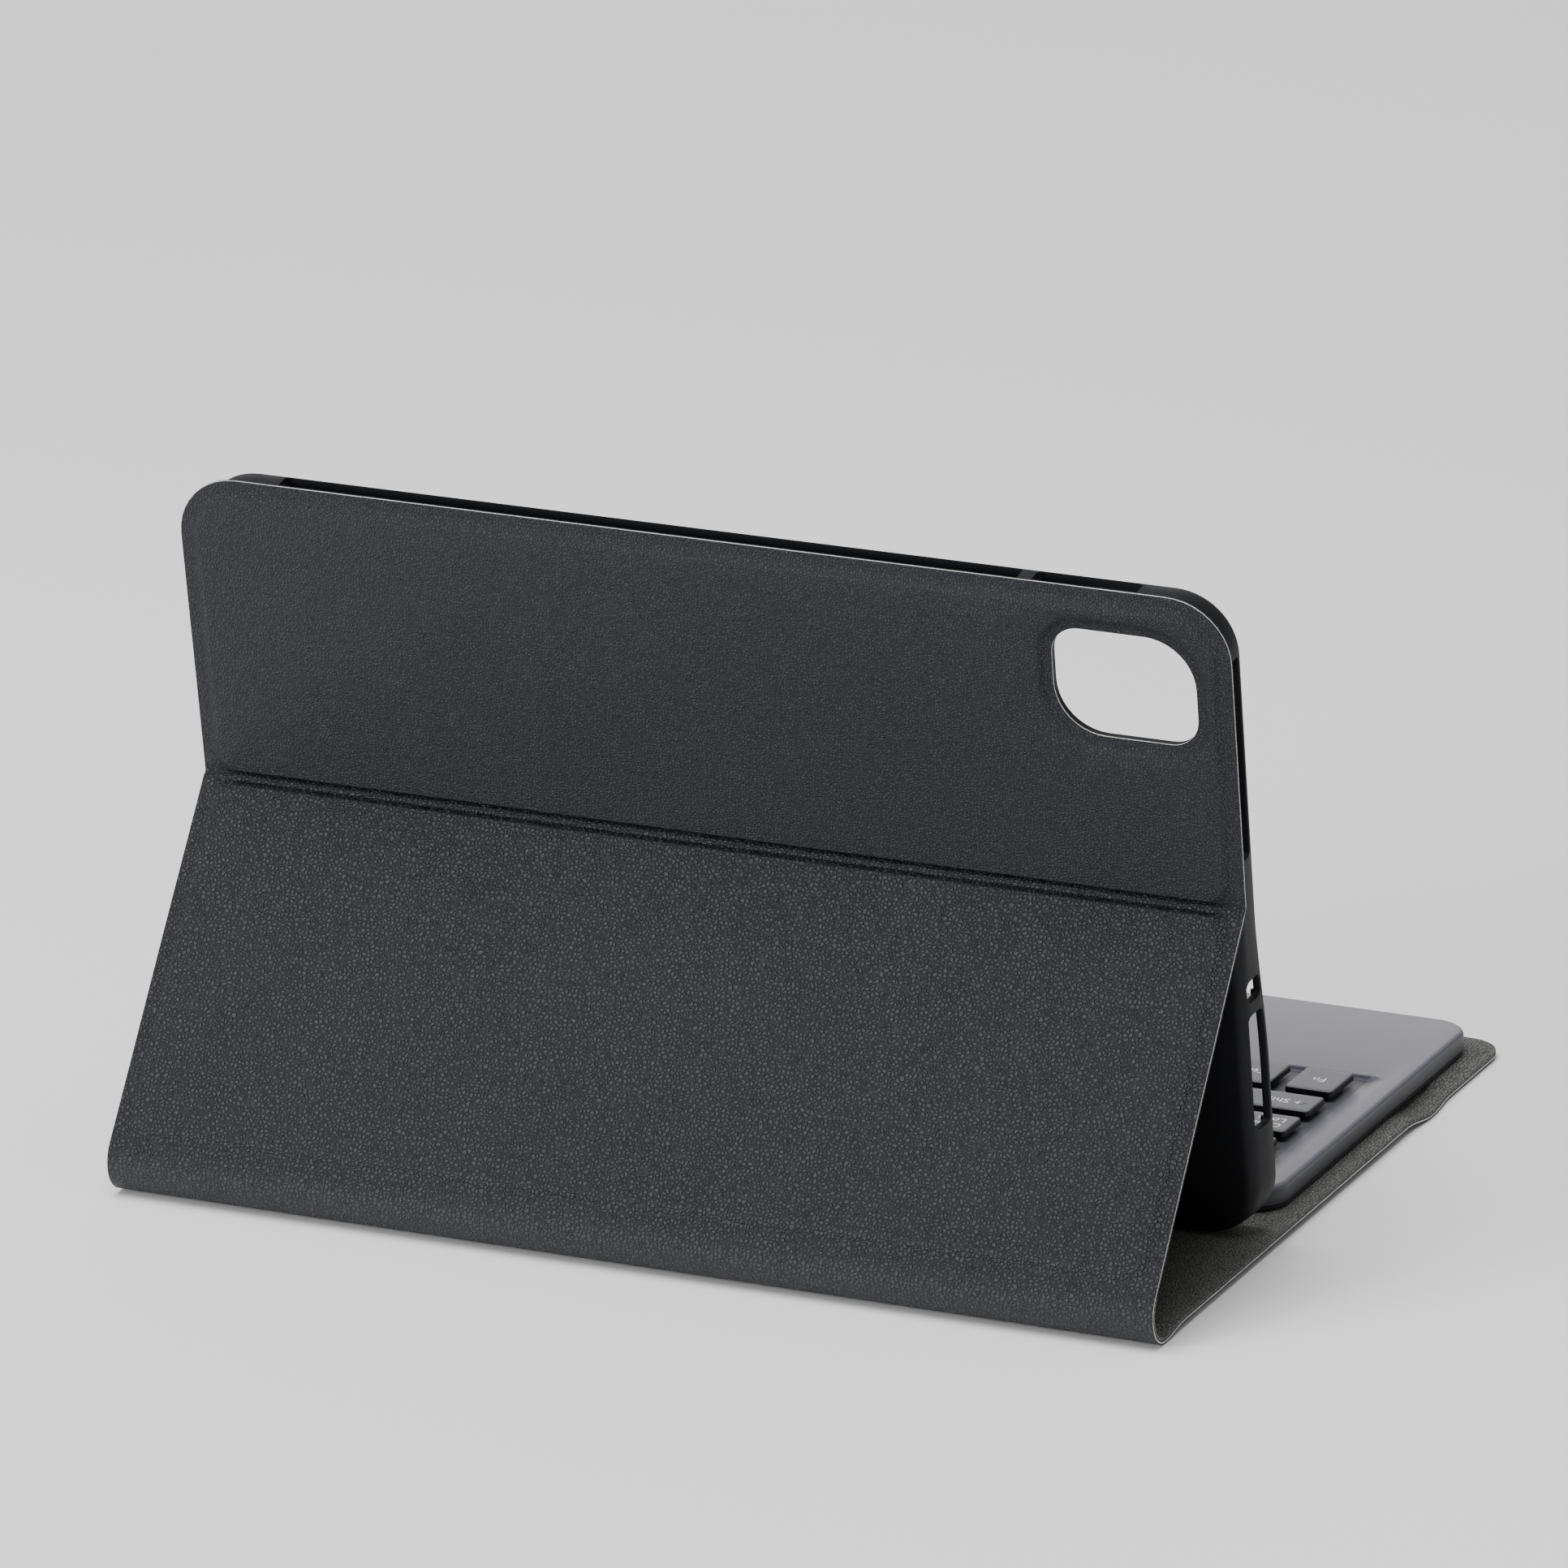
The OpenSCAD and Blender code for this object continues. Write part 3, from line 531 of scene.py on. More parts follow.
COVER_R = 15
BOARD_R = 5
UPPER_BOARD = board_outline(UPPER, "upper_board", [BOARD_R, BOARD_R, 10.4, 10.4])
LOWER_BOARD = board_outline(LOWER, "lower_board", [BOARD_R] * 4)
FRONT_BOARD = board_outline(FRONT, "front_board", [BOARD_R] * 4)
FLAP_BOARD = board_outline(FRONT, "flap_board", [BOARD_R] * 4)
FRONT_Y = mm_box("flap_skin")[0][1]
FLAP_END = FLAP_BOARD.y1
FOLD_SOFT = FOLD_Y - FLAP_END


def upper_outer(x, s):
    side = slope(UPPER_BOARD.outside(x, s), -0.5, EDGE_WIDE)
    low = slope(UPPER_BOARD.y0 - s, -0.35, 1.0)
    hole = slope(CAMERA_BORDER - CAMERA.outside(x, s), -0.5, 2.0)
    base = foot(x, s)
    return base + (TOP_W - base) * min(side, low, hole) + 0.06 * wobble(x, s, 60)


def lower_outer(x, s):
    side = slope(LOWER_BOARD.outside(x, s), -0.5, EDGE_WIDE)
    high = slope(s - LOWER_BOARD.y1, -0.35, 0.95)
    base = foot(x, -s)
    fade = smooth((s - LOWER_START) / 6)
    return base + (TOP_W - base) * min(side, high) + 0.07 * fade * wobble(x, s, 55, 1)


def front_join(x, y):
    """Depth of the line between leather and lining of the front cover, from the board's top."""
    past_fold = abs(y - FOLD_Y)
    fold = slope(past_fold, 1.0, FOLD_SOFT - 1.0)
    edge = max(0.0, (abs(x) - FRONT_BOARD.x1) / (CASE_X - FRONT_BOARD.x1))
    spine = slope(SPINE_Y - y, 0.0, 2.3 + 9 * smooth(edge))
    droop = 0.0
    if y < FOLD_Y:
        droop = 0.85 * (1 - slope(FLAP_BOARD.outside(x, y), 0.0, 4.6)) * (1 - fold)
    return BOARD_T * max(fold, spine, min(1.0, droop + fold))


def front_outer(x, y):
    board = max(slope(FRONT_BOARD.outside(x, y), -0.5, 3.4), slope(FLAP_BOARD.outside(x, y), -0.5, 3.4))
    base = front_join(x, y) + SKIN_T
    return base + (TOP_W - base) * board


def front_place(x, y, w):
    """The cover's edge also swells sideways where it folds."""
    bulge = 1.0 * slope(abs(y - FOLD_Y), 0.0, FOLD_SOFT) * smooth((abs(x) - 112) / 17)
    return FRONT.world(x + math.copysign(bulge, x), y, w)


def inside(outline, hole=None):
    if hole is None:
        return lambda x, s: outline.outside(x, s) < 0
    return lambda x, s: outline.outside(x, s) < 0 < hole.outside(x, s)


SKIN_LOOK = [LEATHER, CUT_EDGE, LEATHER]
ROUGH_LOOK = [ROUGH_LEATHER, CUT_EDGE, ROUGH_LEATHER]
LINING_LOOK = [LINING, LINING, LINING]


# ------------------------------------------------------------------ upper panel
def build_upper_leather():
    outline = Outline(-CASE_X, CREASE_HALF, CASE_X, UPPER_LEN, [0, 0, COVER_R, COVER_R])
    ramp_loops = [UPPER_BOARD.grow(d) for d in BOARD_RINGS]
    ramp_loops = [Outline(o.x0, max(o.y0, CREASE_HALF + 0.2), o.x1, o.y1, o.radii) for o in ramp_loops]
    hole_loops = [CAMERA.grow(d) for d in (1.4, 1.9, 2.4, 2.9, 3.5)]
    low = UPPER_BOARD.y0
    lines = [Outline(-CASE_X + 0.3, low + d, CASE_X - 0.3, low + d + 0.15, [0] * 4)
             for d in CREASE_LINES]
    piece = cut_sheet("upper_leather", UPPER.world, outline, [outline, CAMERA] + ramp_loops
                      + hole_loops + lines, inside(outline, CAMERA), upper_outer,
                      lambda x, s: 0.0, SKIN_LOOK, spacing=5.0, margin=1.2)
    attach(piece, "tray")
    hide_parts("upper_skin")


def slot_ends(places):
    """Pairs of neighbouring values, each a slot's two ends."""
    values = []
    for v in sorted(places):
        if not values or v - values[-1] > 0.5:
            values.append(v)
    return list(zip(values[::2], values[1::2]))


SLOT_R = 1.4                 # ends of the tray's slots


def slot_cutter(x0, x1, s0, s1, w0, w1, axis, flare=0.5):
    """A slot with rounded ends, flared at the outside. axis is "x" or "s", the way it cuts."""
    stations = []
    if axis == "x":
        inner, outer = sorted((x0, x1), key=abs)
        rows = [(inner, 0.0), (outer - math.copysign(0.6, outer), 0.0),
                (outer + math.copysign(1.4, outer), 2.0 * flare)]
        for x, extra in rows:
            shape = Outline(s0, w0, s1, w1, [SLOT_R] * 4).grow(extra)
            stations.append((shape, x))
        return loft("cutter", lambda s, w, x: tray_place(x, s, w), stations, [TRAY_RUBBER])
    rows = [(s0, 0.0), (s1 - 1.0, 0.0), (s1 + 1.0, flare)]
    for s, extra in rows:
        shape = Outline(x0, w0, x1, w1, [SLOT_R] * 4).grow(extra)
        stations.append((shape, s))
    return loft("cutter", lambda x, w, s: UPPER.world(x, s, w), stations, [TRAY_RUBBER])


SPLAY = 1.5


def tray_place(x, s, w):
    """The soft walls splay a little towards their open front, below the crease."""
    splay = SPLAY * smooth((-4 - s) / 40) * smooth(-w / TRAY_DEPTH)
    return UPPER.world(x + math.copysign(splay * smooth((abs(x) - 100) / 20), x), s, w)


def build_tray():
    """Lofted from the pocket's floor along its inner wall, round the lip and back along the outside."""
    top, depth = TRAY, TRAY_DEPTH
    stations = [(top.grow(-2.4), -1.4), (top.grow(-1.9), -1.55), (top.grow(-1.7), -2.0),
                (top.grow(-1.7), 0.4 - depth + 1.0), (top.grow(-1.9), -depth + 1.25),
                (top.grow(-3.0), -depth + 1.05), (top.grow(-3.1), -depth + 0.6),
                (top.grow(-2.7), -depth + 0.15), (top.grow(-1.8), -depth),
                (top.grow(-1.0), -depth + 0.12), (top.grow(-0.35), -depth + 0.5),
                (top, -depth + 1.2), (top, -6.0), (top, -3.0)]
    rear_r = 3
    for k in range(1, 7):
        a = math.radians(15 * k)
        stations.append((top.grow(-rear_r * (1 - math.cos(a))), -rear_r + rear_r * math.sin(a)))
    piece = loft("tray_body", tray_place, stations, [TRAY_RUBBER], side_step=5, corner_n=14)
    cutters = []
    for side in (-1, 1):
        wall = [p for p in TRAY_POINTS if abs(p[0] - side * TRAY.x1) < 0.05
                and -TRAY_DEPTH + 0.5 < p[2] < -1.5 and p[1] > TRAY.y0 + 16]
        w0, w1 = min(p[2] for p in wall), max(p[2] for p in wall)
        for s0, s1 in slot_ends([p[1] for p in wall]):
            cutters.append(slot_cutter(side * (TRAY.x1 - 3.5), side * (TRAY.x1 + 0.3), s0, s1,
                                       w0, w1, "x"))
            lip = Outline(s0, -TRAY_DEPTH - 1.0, s1, -TRAY_DEPTH + 1.6, [0.5] * 4)
            rows = [(lip, side * (TRAY.x1 - 5)), (lip, side * (TRAY.x1 - 1.75))]
            cutters.append(loft("cutter", lambda s, w, x: tray_place(x, s, w), rows, [TRAY_RUBBER]))
    roof = [p for p in TRAY_POINTS if abs(p[1] - TRAY.y1) < 0.05
            and -TRAY_DEPTH + 0.5 < p[2] < -1.0 and abs(p[0]) < TRAY.x1 - TRAY_CORNER - 0.5]
    w0, w1 = min(p[2] for p in roof), max(p[2] for p in roof)
    for x0, x1 in slot_ends([p[0] for p in roof]):
        cutters.append(slot_cutter(x0, x1, TRAY.y1 - 3.0, TRAY.y1, w0, w1, "s", 0.4))
    cutters.append(loft("cutter", UPPER.world, [(CAMERA.grow(0.1), -4.0), (CAMERA.grow(0.1), 1.0)],
                        [TRAY_RUBBER]))
    cut_away(piece, cutters)
    piece.data.set_sharp_from_angle(angle=math.radians(35))
    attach(piece, "tray")
    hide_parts("tray_shell")


# ------------------------------------------------------------------ ribbons: crease and spine
def ribbon(name, n_rows, outer, inner, materials, half_x=CASE_X, step=3.0):
    """A band across the case between outer(x, row) and inner(x, row); all its edges are closed."""
    columns = max(2, int(2 * half_x / step))
    xs = [-half_x + 2 * half_x * k / columns for k in range(columns + 1)]
    n_cols = len(xs)
    verts, faces, slots = [], [], []

    def at(x, row, share):
        (oy, oz), (iy, iz) = outer(x, row), inner(x, row)
        return Vector((x, oy * (1 - share) + iy * share, oz * (1 - share) + iz * share)) * MM

    for share in (0.0, 1.0):
        for r in range(n_rows):
            verts += [at(x, r, share) for x in xs]
    back = n_rows * n_cols
    for r in range(n_rows - 1):
        for c in range(n_cols - 1):
            a = r * n_cols + c
            faces.append((a, a + 1, a + n_cols + 1, a + n_cols))
            slots.append(0)
            faces.append((back + a, back + a + n_cols, back + a + n_cols + 1, back + a + 1))
            slots.append(2)
    for c in range(n_cols - 1):
        for r in (0, n_rows - 1):
            a = r * n_cols + c
            faces.append((a, a + 1, back + a + 1, back + a))
            slots.append(2)
    for c in (0, n_cols - 1):
        levels = [[r * n_cols + c for r in range(n_rows)]]
        for share in RIM[1:-1]:
            levels.append([len(verts) + r for r in range(n_rows)])
            verts += [at(xs[c], r, share) for r in range(n_rows)]
        levels.append([back + r * n_cols + c for r in range(n_rows)])
        for slot, (upper, lower) in enumerate(zip(levels, levels[1:])):
            for r in range(n_rows - 1):
                faces.append((upper[r], upper[r + 1], lower[r + 1], lower[r]))
                slots.append(slot)
    return make_piece(name, verts, faces, materials, slots, sharp=60)


def bezier(p0, p1, p2, p3, t):
    a, b, c, d = (1 - t) ** 3, 3 * t * (1 - t) ** 2, 3 * t * t * (1 - t), t ** 3
    return tuple(a * p0[i] + b * p1[i] + c * p2[i] + d * p3[i] for i in range(2))


def build_crease():
    """The skin between the two boards: crowned in the middle, a plain bend at the rims."""
    low_in, high_in = LOWER.yz(-CREASE_HALF, 0), UPPER.yz(CREASE_HALF, 0)
    steps = 14

    def outer_at(x, t):
        middle = away_from_rims(x)
        low, high = LOWER.yz(-CREASE_HALF, foot(x, CREASE_HALF)), UPPER.yz(CREASE_HALF, foot(x, CREASE_HALF))
        reach = 1.9 * middle
        tuck = 1.0 * (1 - middle)
        a = (low[0] + LOWER.out[0] * reach + LOWER.along[0] * tuck,
             low[1] + LOWER.out[1] * reach + LOWER.along[1] * tuck)
        b = (high[0] + UPPER.out[0] * reach - UPPER.along[0] * tuck,
             high[1] + UPPER.out[1] * reach - UPPER.along[1] * tuck)
        return bezier(low, a, b, high, t)

    def inner_at(x, t):
        return (low_in[0] + (high_in[0] - low_in[0]) * t, low_in[1] + (high_in[1] - low_in[1]) * t)

    piece = ribbon("crease_leather", steps + 1, lambda x, r: outer_at(x, r / steps),
                   lambda x, r: inner_at(x, r / steps), ROUGH_LOOK)
    LOWER.world(0, -CREASE_HALF, 0)
    UPPER.world(0, CREASE_HALF, 0)
    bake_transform(piece)


def arc_yz(angle, depth):
    """Point of the spine at a heading, a depth in from its outer face."""
    a = math.radians(angle)
    r = SPINE_R - depth
    return SPINE_Y + r * math.sin(a), SPINE_R - r * math.cos(a)


def build_spine(name, depth0, depth1, look, replaced):
    thirds = [0, SPINE_HALF / 2, SPINE_HALF * 1.5, PANEL_HEADING]
    pairs = [("front_cover", "spine_lower", 0.0, SPINE_HALF / 2),
             ("spine_lower", "spine_upper", SPINE_HALF * 0.65, SPINE_HALF * 1.35),
             ("spine_upper", "lower_panel", SPINE_HALF * 1.6, PANEL_HEADING)]
    for i, (first, second, bend0, bend1) in enumerate(pairs):
        steps = max(6, int((thirds[i + 1] - thirds[i]) / 4))
        turn = (thirds[i + 1] - thirds[i]) / steps
        piece = ribbon(f"{name}_{i + 1}", steps + 1,
                       lambda x, r, first=thirds[i], turn=turn: arc_yz(first + r * turn, depth0),
                       lambda x, r, first=thirds[i], turn=turn: arc_yz(first + r * turn, depth1), look)
        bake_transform(piece)
    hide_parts(*replaced)


# ------------------------------------------------------------------ lower panel
def build_lower_leather():
    outline = Outline(-CASE_X, LOWER_START, CASE_X, -CREASE_HALF, [0, 0, 0, 0])
    ramp_loops = [LOWER_BOARD.grow(d) for d in BOARD_RINGS]
    ramp_loops = [Outline(o.x0, o.y0, o.x1, min(o.y1, -CREASE_HALF - 0.2), o.radii)
                  for o in ramp_loops]
    high = LOWER_BOARD.y1
    lines = [Outline(-CASE_X + 0.3, high - d - 0.15, CASE_X - 0.3, high - d, [0] * 4)
             for d in CREASE_LINES]
    piece = cut_sheet("lower_leather", LOWER.world, outline, [outline] + ramp_loops + lines,
                      inside(outline), lower_outer, lambda x, s: 0.0, ROUGH_LOOK,
                      spacing=6.0, margin=1.2)
    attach(piece, "lower_panel")
    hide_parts("lower_skin")


def build_lower_lining():
    outline = Outline(-CASE_X + 0.15, LOWER_START, CASE_X - 0.15, -2.0, [0] * 4)
    piece = cut_sheet("lower_lining_cloth", LOWER.world, outline, [outline], inside(outline),
                      lambda x, s: -LINING_T + 0.05 * wobble(x, s, 40) * smooth((s - LOWER_START) / 6),
                      lambda x, s: 0.0, LINING_LOOK, spacing=6.0, margin=1.5)
    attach(piece, "lower_panel")
    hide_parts("lower_lining")


# ------------------------------------------------------------------ front cover and flap
def front_pieces(outline, name, spacing):
    """The leather and the lining over one stretch of the front cover."""
    clip0, clip1 = outline.y0 + 0.2, outline.y1 - 0.2
    ramps = []
    for board in (FRONT_BOARD, FLAP_BOARD):
        if board.y0 < clip1 and board.y1 > clip0 and board.y1 - board.y0 > 5:
            for d in (-0.9, 0.3, 1.5, 2.7, 3.5):
                o = board.grow(d)
                if o.y0 < clip1 - 4 and o.y1 > clip0 + 4:
                    ramps.append(Outline(o.x0, max(o.y0, clip0), o.x1, min(o.y1, clip1), o.radii))
    leather = cut_sheet(f"{name}_leather", front_place, outline, [outline] + ramps, inside(outline),
                        front_outer, front_join, SKIN_LOOK, spacing=spacing, margin=1.0)
    lining = cut_sheet(f"{name}_lining_cloth", front_place, outline, [outline] + ramps,
                       inside(outline),
                       lambda x, y: front_join(x, y) - LINING_T, front_join, LINING_LOOK,
                       spacing=spacing, margin=1.0)
    return leather, lining


def build_front():
    main = Outline(-CASE_X, FOLD_Y + FOLD_SOFT, CASE_X, SPINE_Y, [0] * 4)
    fold = Outline(-CASE_X, FOLD_Y - FOLD_SOFT, CASE_X, FOLD_Y + FOLD_SOFT, [0] * 4)
    flap = Outline(-CASE_X, FRONT_Y, CASE_X, FOLD_Y - FOLD_SOFT, [9, 9, 0, 0])
    leather, lining = front_pieces(main, "front", 6.0)
    for piece in (leather, lining):
        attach(piece, "front_cover")
    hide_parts("front_skin")
    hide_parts("front_lining")
    leather, lining = front_pieces(fold, "fold", 2.2)
    for piece in (leather, lining):
        FRONT.world(0, FOLD_Y - 0.3, TOP_W)
        FRONT.world(0, fold.y0 + 0.6, TOP_W)
        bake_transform(piece)
    leather, lining = front_pieces(flap, "flap", 5.0)
    for piece in (leather, lining):
        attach(piece, "flap")
    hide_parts("flap_skin")
    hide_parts("flap_lining")


# ------------------------------------------------------------------ keyboard
def place_flat(x, y, z):
    return Vector((x, y, z)) * MM


KB_LOW, KB_HIGH = mm_box("keyboard_top_case")
KEYBOARD_SHAPE = Outline(KB_LOW[0], KB_LOW[1], KB_HIGH[0], KB_HIGH[1], [9] * 4)
PLATE_LOW, PLATE_HIGH = mm_box("key_plate")
PLATE_GROW = 2.0
WELL = Outline(PLATE_LOW[0] + PLATE_GROW, PLATE_LOW[1] + PLATE_GROW, PLATE_HIGH[0] - PLATE_GROW,
               KB_HIGH[1] - 3.2, [1.5] * 4)
KB_WALL = 1.8
KB_ROUND = 1.4               # along the keyboard's top edge


def build_keyboard_case():
    """Lofted from the seam up the side, over the top, down into the key well and back inside."""
    body, top = KEYBOARD_SHAPE, KB_HIGH[2]
    seam, floor_z = KB_LOW[2], PLATE_HIGH[2] + 0.02
    stations = [(body.grow(-0.25), seam + 0.05), (body, seam + 0.3), (body, top - KB_ROUND)]
    for k in range(1, 7):
        a = math.radians(15 * k)
        stations.append((body.grow(-KB_ROUND * (1 - math.cos(a))),
                         top - KB_ROUND + KB_ROUND * math.sin(a)))
    rim = Outline(WELL.x0 - 4.0, WELL.y0 - 0.3, WELL.x1 + 4.0, WELL.y1 + 0.9, [4, 4, 3, 3])
    soft = Outline(WELL.x0 - 3.3, WELL.y0 - 0.12, WELL.x1 + 3.3, WELL.y1 + 0.6, [3.6, 3.6, 2.6, 2.6])
    half = Outline(WELL.x0 - 1.6, WELL.y0 - 0.06, WELL.x1 + 1.6, WELL.y1 + 0.3, [2.6, 2.6, 2, 2])
    low = WELL.grow(-0.6)
    stations += [(rim.grow(0.25), top), (rim, top - 0.03), (soft, top - 0.16),
                 (half, (top + floor_z) / 2 - 0.05), (WELL, floor_z + 0.08), (low, floor_z),
                 (low, floor_z - 0.03), (body.grow(-KB_WALL), floor_z - 0.03),
                 (body.grow(-KB_WALL), seam + 0.05)]
    # The side and the first 15 degrees of the top edge's roundover take the painted shade colour, the next 30
    # degrees the painted half shade
    looks = [1, 1, 1, 2, 2] + [0] * (len(stations) - 5)
    piece = loft("keyboard_shell", place_flat, stations + [stations[0]],
                 [KEYBOARD, KEYBOARD_SIDE_SHADE, KEYBOARD_EDGE_HALF_SHADE], slots=looks, side_step=7, corner_n=10,
                 caps=(False, False))
    weld(piece)
    low_c, high_c = mm_box("charging_socket")
    low_s, high_s = mm_box("power_switch")
    travel = JOINT["power_slide"]["range_m"][1] / MM
    slots = [(low_c[1] - 0.05, high_c[1] + 0.05, low_c[2] - 0.05, high_c[2] + 0.05, 1.55),
             (low_s[1] - 0.2, high_s[1] + travel + 0.2, low_s[2] + 0.4, high_s[2] - 0.4, 0.9)]
    cutters = []
    for y0, y1, z0, z1, r in slots:
        shape = Outline(y0, z0, y1, z1, [r] * 4)
        rows = [(shape, body.x1 - 3.5), (shape, body.x1 - 0.3), (shape.grow(0.5), body.x1 + 0.2)]
        cutters.append(loft("cutter", lambda y, z, x: place_flat(x, y, z), rows, [KEYBOARD]))
    lens_low, lens_high = mm_box("status_lens")
    lens = Outline(lens_low[0], lens_low[1], lens_high[0], lens_high[1], [0.69] * 4)
    cutters.append(loft("cutter", place_flat, [(lens.grow(0.05), top - 3), (lens.grow(0.05), top + 1)],
                        [KEYBOARD]))
    cut_away(piece, cutters)
    piece.data.set_sharp_from_angle(angle=math.radians(40))
    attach(piece, "keyboard")
    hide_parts("keyboard_top_case")


def weld(piece):
    bm = bmesh.new()
    bm.from_mesh(piece.data)
    bmesh.ops.remove_doubles(bm, verts=bm.verts, dist=1e-7)
    bmesh.ops.recalc_face_normals(bm, faces=bm.faces)
    bm.to_mesh(piece.data)
    bm.free()


def build_keyboard_base():
    low, high = mm_box("keyboard_bottom_cover")
    shape = KEYBOARD_SHAPE
    stations = [(shape.grow(-0.9), low[2]), (shape.grow(-0.35), low[2] + 0.2),
                (shape.grow(-0.05), low[2] + 0.6), (shape.grow(-0.05), high[2] - 0.12),
                (shape.grow(-0.3), high[2])]
    piece = loft("keyboard_base_cover", place_flat, stations, [KEYBOARD_BASE], side_step=7)
    heads = islands("case_screws")
    cutters = []
    for box_low, box_high in heads:
        ring = Outline(box_low[0] - 0.1, box_low[1] - 0.1, box_high[0] + 0.1, box_high[1] + 0.1,
                       [(box_high[0] - box_low[0]) / 2 + 0.09] * 4)
        rows = [(ring.grow(0.4), low[2] - 0.5), (ring, low[2] + 0.1), (ring, low[2] + 0.62),
                (ring.grow(-0.85), low[2] + 0.62), (ring.grow(-0.85), high[2] + 1)]
        cutters.append(loft("cutter", place_flat, rows, [KEYBOARD_BASE]))
    cut_away(piece, cutters)
    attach(piece, "keyboard")
    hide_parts("keyboard_bottom_cover")


def islands(node):
    """Boxes, in millimetres, of the separate solids of a CAD node."""
    mesh = frame["nodes"][node].data
    parent = list(range(len(mesh.vertices)))
    spots = {}

    def root(i):
        while parent[i] != i:
            parent[i] = parent[parent[i]]
            i = parent[i]
        return i

    for vert in mesh.vertices:
        key = tuple(round(c, 6) for c in vert.co)
        if key in spots:
            parent[root(vert.index)] = root(spots[key])
        spots[key] = vert.index
    for edge in mesh.edges:
        a, b = edge.vertices
        parent[root(a)] = root(b)
    groups = {}
    for vert in mesh.vertices:
        groups.setdefault(root(vert.index), []).append([c / MM for c in vert.co])
    return [([min(p[i] for p in g) for i in range(3)], [max(p[i] for p in g) for i in range(3)])
            for g in groups.values()]


CAP_WALL = 0.8               # of a key cap's side, round its open underside
CAP_SKIN = 0.5               # of its top
CAP_LOOK = [1, 1, 1, 1, 1, 0, 0, 0]                     # glossy skirt, then the matt top


def keycap(low, high):
    """Stations of one key: its open underside, a glossy skirt that narrows, a bevelled, dished top."""
    shape = Outline(low[0], low[1], high[0], high[1], [1.2] * 4)
    z0, z1 = low[2], high[2]
    return [(shape.grow(-CAP_WALL), z1 - CAP_SKIN), (shape.grow(-CAP_WALL), z0),
            (shape.grow(-0.15), z0), (shape, z0 + 0.12), (shape.grow(-0.12), z1 - 0.42),
            (shape.grow(-0.22), z1 - 0.18), (shape.grow(-0.42), z1 - 0.04),
            (shape.grow(-0.75), z1), (shape.grow(-2.2), z1 - 0.03)]


def join(pieces, name):
    bpy.ops.object.select_all(action="DESELECT")
    for piece in pieces:
        piece.select_set(True)
    bpy.context.view_layer.objects.active = pieces[0]
    bpy.ops.object.join()
    pieces[0].name = name
    pieces[0].data.name = name
    return pieces[0]


LEGENDS = {
    "number_keys": ["` ~", "1 !", "2 @", "3 #", "4 $", "5 %", "6 ^", "7 &", "8 *", "9 (", "0 )", "- _",
                    "= +"],
    "backspace_key": ["Delete"], "tab_key": ["Tab"],
    "upper_letter_keys": list("QWERTYUIOP") + ["[ {", "] }", "\\ |"],
    "caps_lock_key": ["Caps\nLock"], "home_letter_keys": list("ASDFGHJKL") + ["; :", "' \""],
    "enter_key": ["Enter"], "left_shift_key": ["Shift"],
    "lower_letter_keys": list("ZXCVBNM") + [", <", ". >", "/ ?"],
    "right_shift_key": ["Shift"], "fn_key": ["Fn"], "ctrl_key": ["Ctrl"],
    "symbol_keys": ["Alt", "Cmd", "Cmd", "Alt"], "space_bar": [""],
    "arrow_keys": ["<", "v", "^", ">"],
}


LEGEND_T = 0.008


def printed(verts, faces, place):
    """A thin raised print, LEGEND_T high, from a flat shape in millimetres round the place."""
    n = len(verts)
    points = [Vector((place[0] + x, place[1] + y, place[2] + z)) * MM
              for z in (0.0, LEGEND_T) for x, y in verts]
    sides = []
    for face in faces:
        for i, a in enumerate(face):
            b = face[(i + 1) % len(face)]
            sides.append((a, b, b + n, a + n))
    solid = [tuple(reversed(face)) for face in faces] + [tuple(i + n for i in face) for face in faces]
    return make_piece("legend", points, solid + sides, [LEGEND])


def shift_arrow(place):
    """Outline of an upward arrow."""
    outer = [(0, 1.7), (1.7, 0), (0.8, 0), (0.8, -1.4), (-0.8, -1.4), (-0.8, 0), (-1.7, 0)]
    inner = [(0, 1.15), (0.85, 0.3), (0.45, 0.3), (0.45, -1.05), (-0.45, -1.05), (-0.45, 0.3),
             (-0.85, 0.3)]
    faces = [(i, (i + 1) % 7, 7 + (i + 1) % 7, 7 + i) for i in range(7)]
    return printed(outer + inner, faces, place)


def legend(text, low, high):
    """Printed lettering on a key's top, read from the front."""
    curve = bpy.data.curves.new("legend", "FONT")
    curve.body = text
    wide = high[0] - low[0] > 15
    size = 4.6 if len(text) == 1 else 3.7
    curve.size = size * MM
    curve.extrude = LEGEND_T / 2 * MM
    curve.align_x = "LEFT" if wide else "CENTER"
    curve.align_y = "CENTER"
    curve.space_line = 0.95
    holder = bpy.data.objects.new("legend", curve)
    bpy.context.scene.collection.objects.link(holder)
    bpy.context.view_layer.update()
    mesh = bpy.data.meshes.new_from_object(holder)
    bpy.data.objects.remove(holder)
    mesh.materials.clear()
    mesh.materials.append(LEGEND)
    piece = bpy.data.objects.new("legend", mesh)
    bpy.context.scene.collection.objects.link(piece)
    middle_y = (low[1] + high[1]) / 2
    x = low[0] + 2.4 if wide else (low[0] + high[0]) / 2
    if text == "Shift":
        arrow = shift_arrow((x + 1.6, middle_y, high[2] - 0.02))
        x += 4.4
    for vert in mesh.vertices:
        vert.co += Vector((x, middle_y, high[2] - 0.02)) * MM
    return join([piece, arrow], "legend") if text == "Shift" else piece


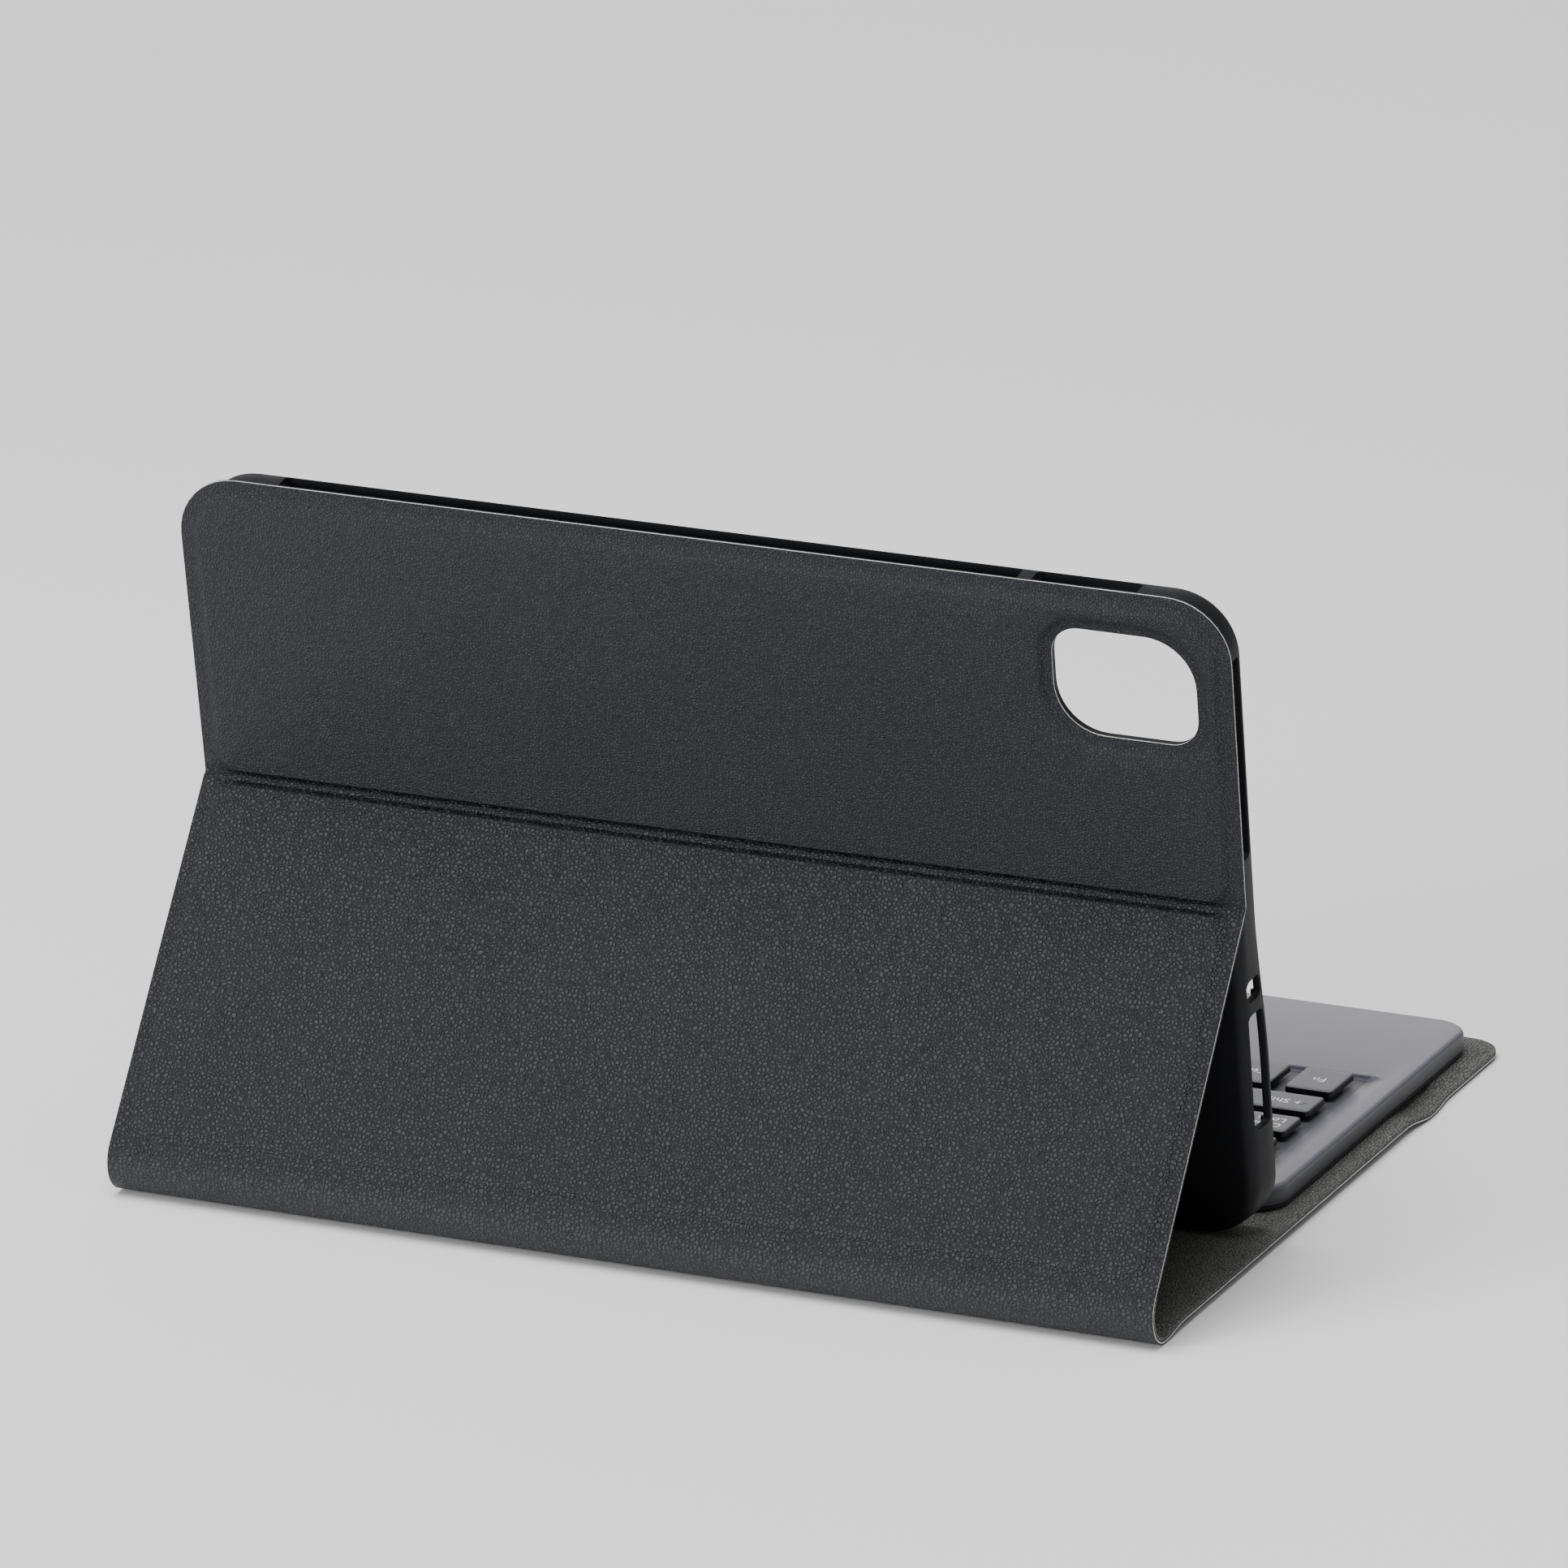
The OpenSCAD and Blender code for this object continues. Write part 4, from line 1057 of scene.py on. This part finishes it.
def build_keys():
    for node, texts in LEGENDS.items():
        boxes = sorted(islands(node), key=lambda b: (round(b[0][0]), b[0][1]))
        caps, prints = [], []
        for (low, high), text in zip(boxes, texts):
            caps.append(loft("cap", place_flat, keycap(low, high), [KEY_TOP, KEY_SKIRT],
                             slots=CAP_LOOK, side_step=30, corner_n=5, sharp=50))
            if text:
                prints.append(legend(text, low, high))
        piece = join(caps, node + "_cap")
        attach(piece, node)
        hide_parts(node)
        if prints:
            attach(join(prints, node + "_legend"), node)


build_upper_leather()
build_tray()
build_crease()
build_spine("spine_leather", 0.0, SKIN_T, ROUGH_LOOK,
            ["spine_skin_lower", "spine_skin_upper"])
build_spine("spine_cloth", SKIN_T, SKIN_T + LINING_T, LINING_LOOK,
            ["spine_lining_lower", "spine_lining_upper"])
build_lower_leather()
build_lower_lining()
build_front()
build_keyboard_case()
build_keyboard_base()
build_keys()


# ------------------------------------------------------------------ floor, light and camera
def build_stage():
    size = 6.0
    mesh = bpy.data.meshes.new("floor")
    mesh.from_pydata([(-size, -size, 0), (size, -size, 0), (size, size, 0), (-size, size, 0)], [],
                     [(0, 1, 2, 3)])
    mesh.materials.append(new_material("floor_paper", (0.86, 0.86, 0.86), 0.9, 0.1)[0])
    floor = bpy.data.objects.new("floor", mesh)
    floor.location.z = -0.0003
    bpy.context.scene.collection.objects.link(floor)
    world = bpy.data.worlds.new("studio")
    world.use_nodes = True
    world.node_tree.nodes["Background"].inputs["Color"].default_value = (1, 1, 1, 1)
    world.node_tree.nodes["Background"].inputs["Strength"].default_value = 0.45
    bpy.context.scene.world = world


def area_light(name, position, target, size, power):
    data = bpy.data.lights.new(name, "AREA")
    data.shape = "DISK"
    data.size = size
    data.energy = power
    light = bpy.data.objects.new(name, data)
    light.location = position
    light.rotation_euler = (Vector(target) - Vector(position)).to_track_quat("-Z", "Y").to_euler()
    bpy.context.scene.collection.objects.link(light)


def build_camera():
    """The view of the photo, fitted to the object's edges in it."""
    azimuth, elevation, distance = math.radians(203.560), math.radians(17.779), 2.792
    aim = Vector((0.01025, -0.00278, 0.08072))
    back = Vector((math.sin(azimuth) * math.cos(elevation), -math.cos(azimuth) * math.cos(elevation),
                   math.sin(elevation)))
    data = bpy.data.cameras.new("camera")
    data.lens = 276.36
    data.sensor_width = 36
    data.clip_end = 50
    camera = bpy.data.objects.new("camera", data)
    camera.location = aim + back * distance
    camera.rotation_euler = (-back).to_track_quat("-Z", "Y").to_euler()
    bpy.context.scene.collection.objects.link(camera)
    bpy.context.scene.camera = camera


build_stage()
area_light("over", (0.3, 0.9, 2.6), (0, 0.1, 0), 2.4, 95)
area_light("window", (1.6, 2.6, 0.9), (0, 0, 0.08), 1.5, 72)
area_light("far", (0.9, -2.6, 0.9), (0, 0, 0), 1.8, 12)
build_camera()
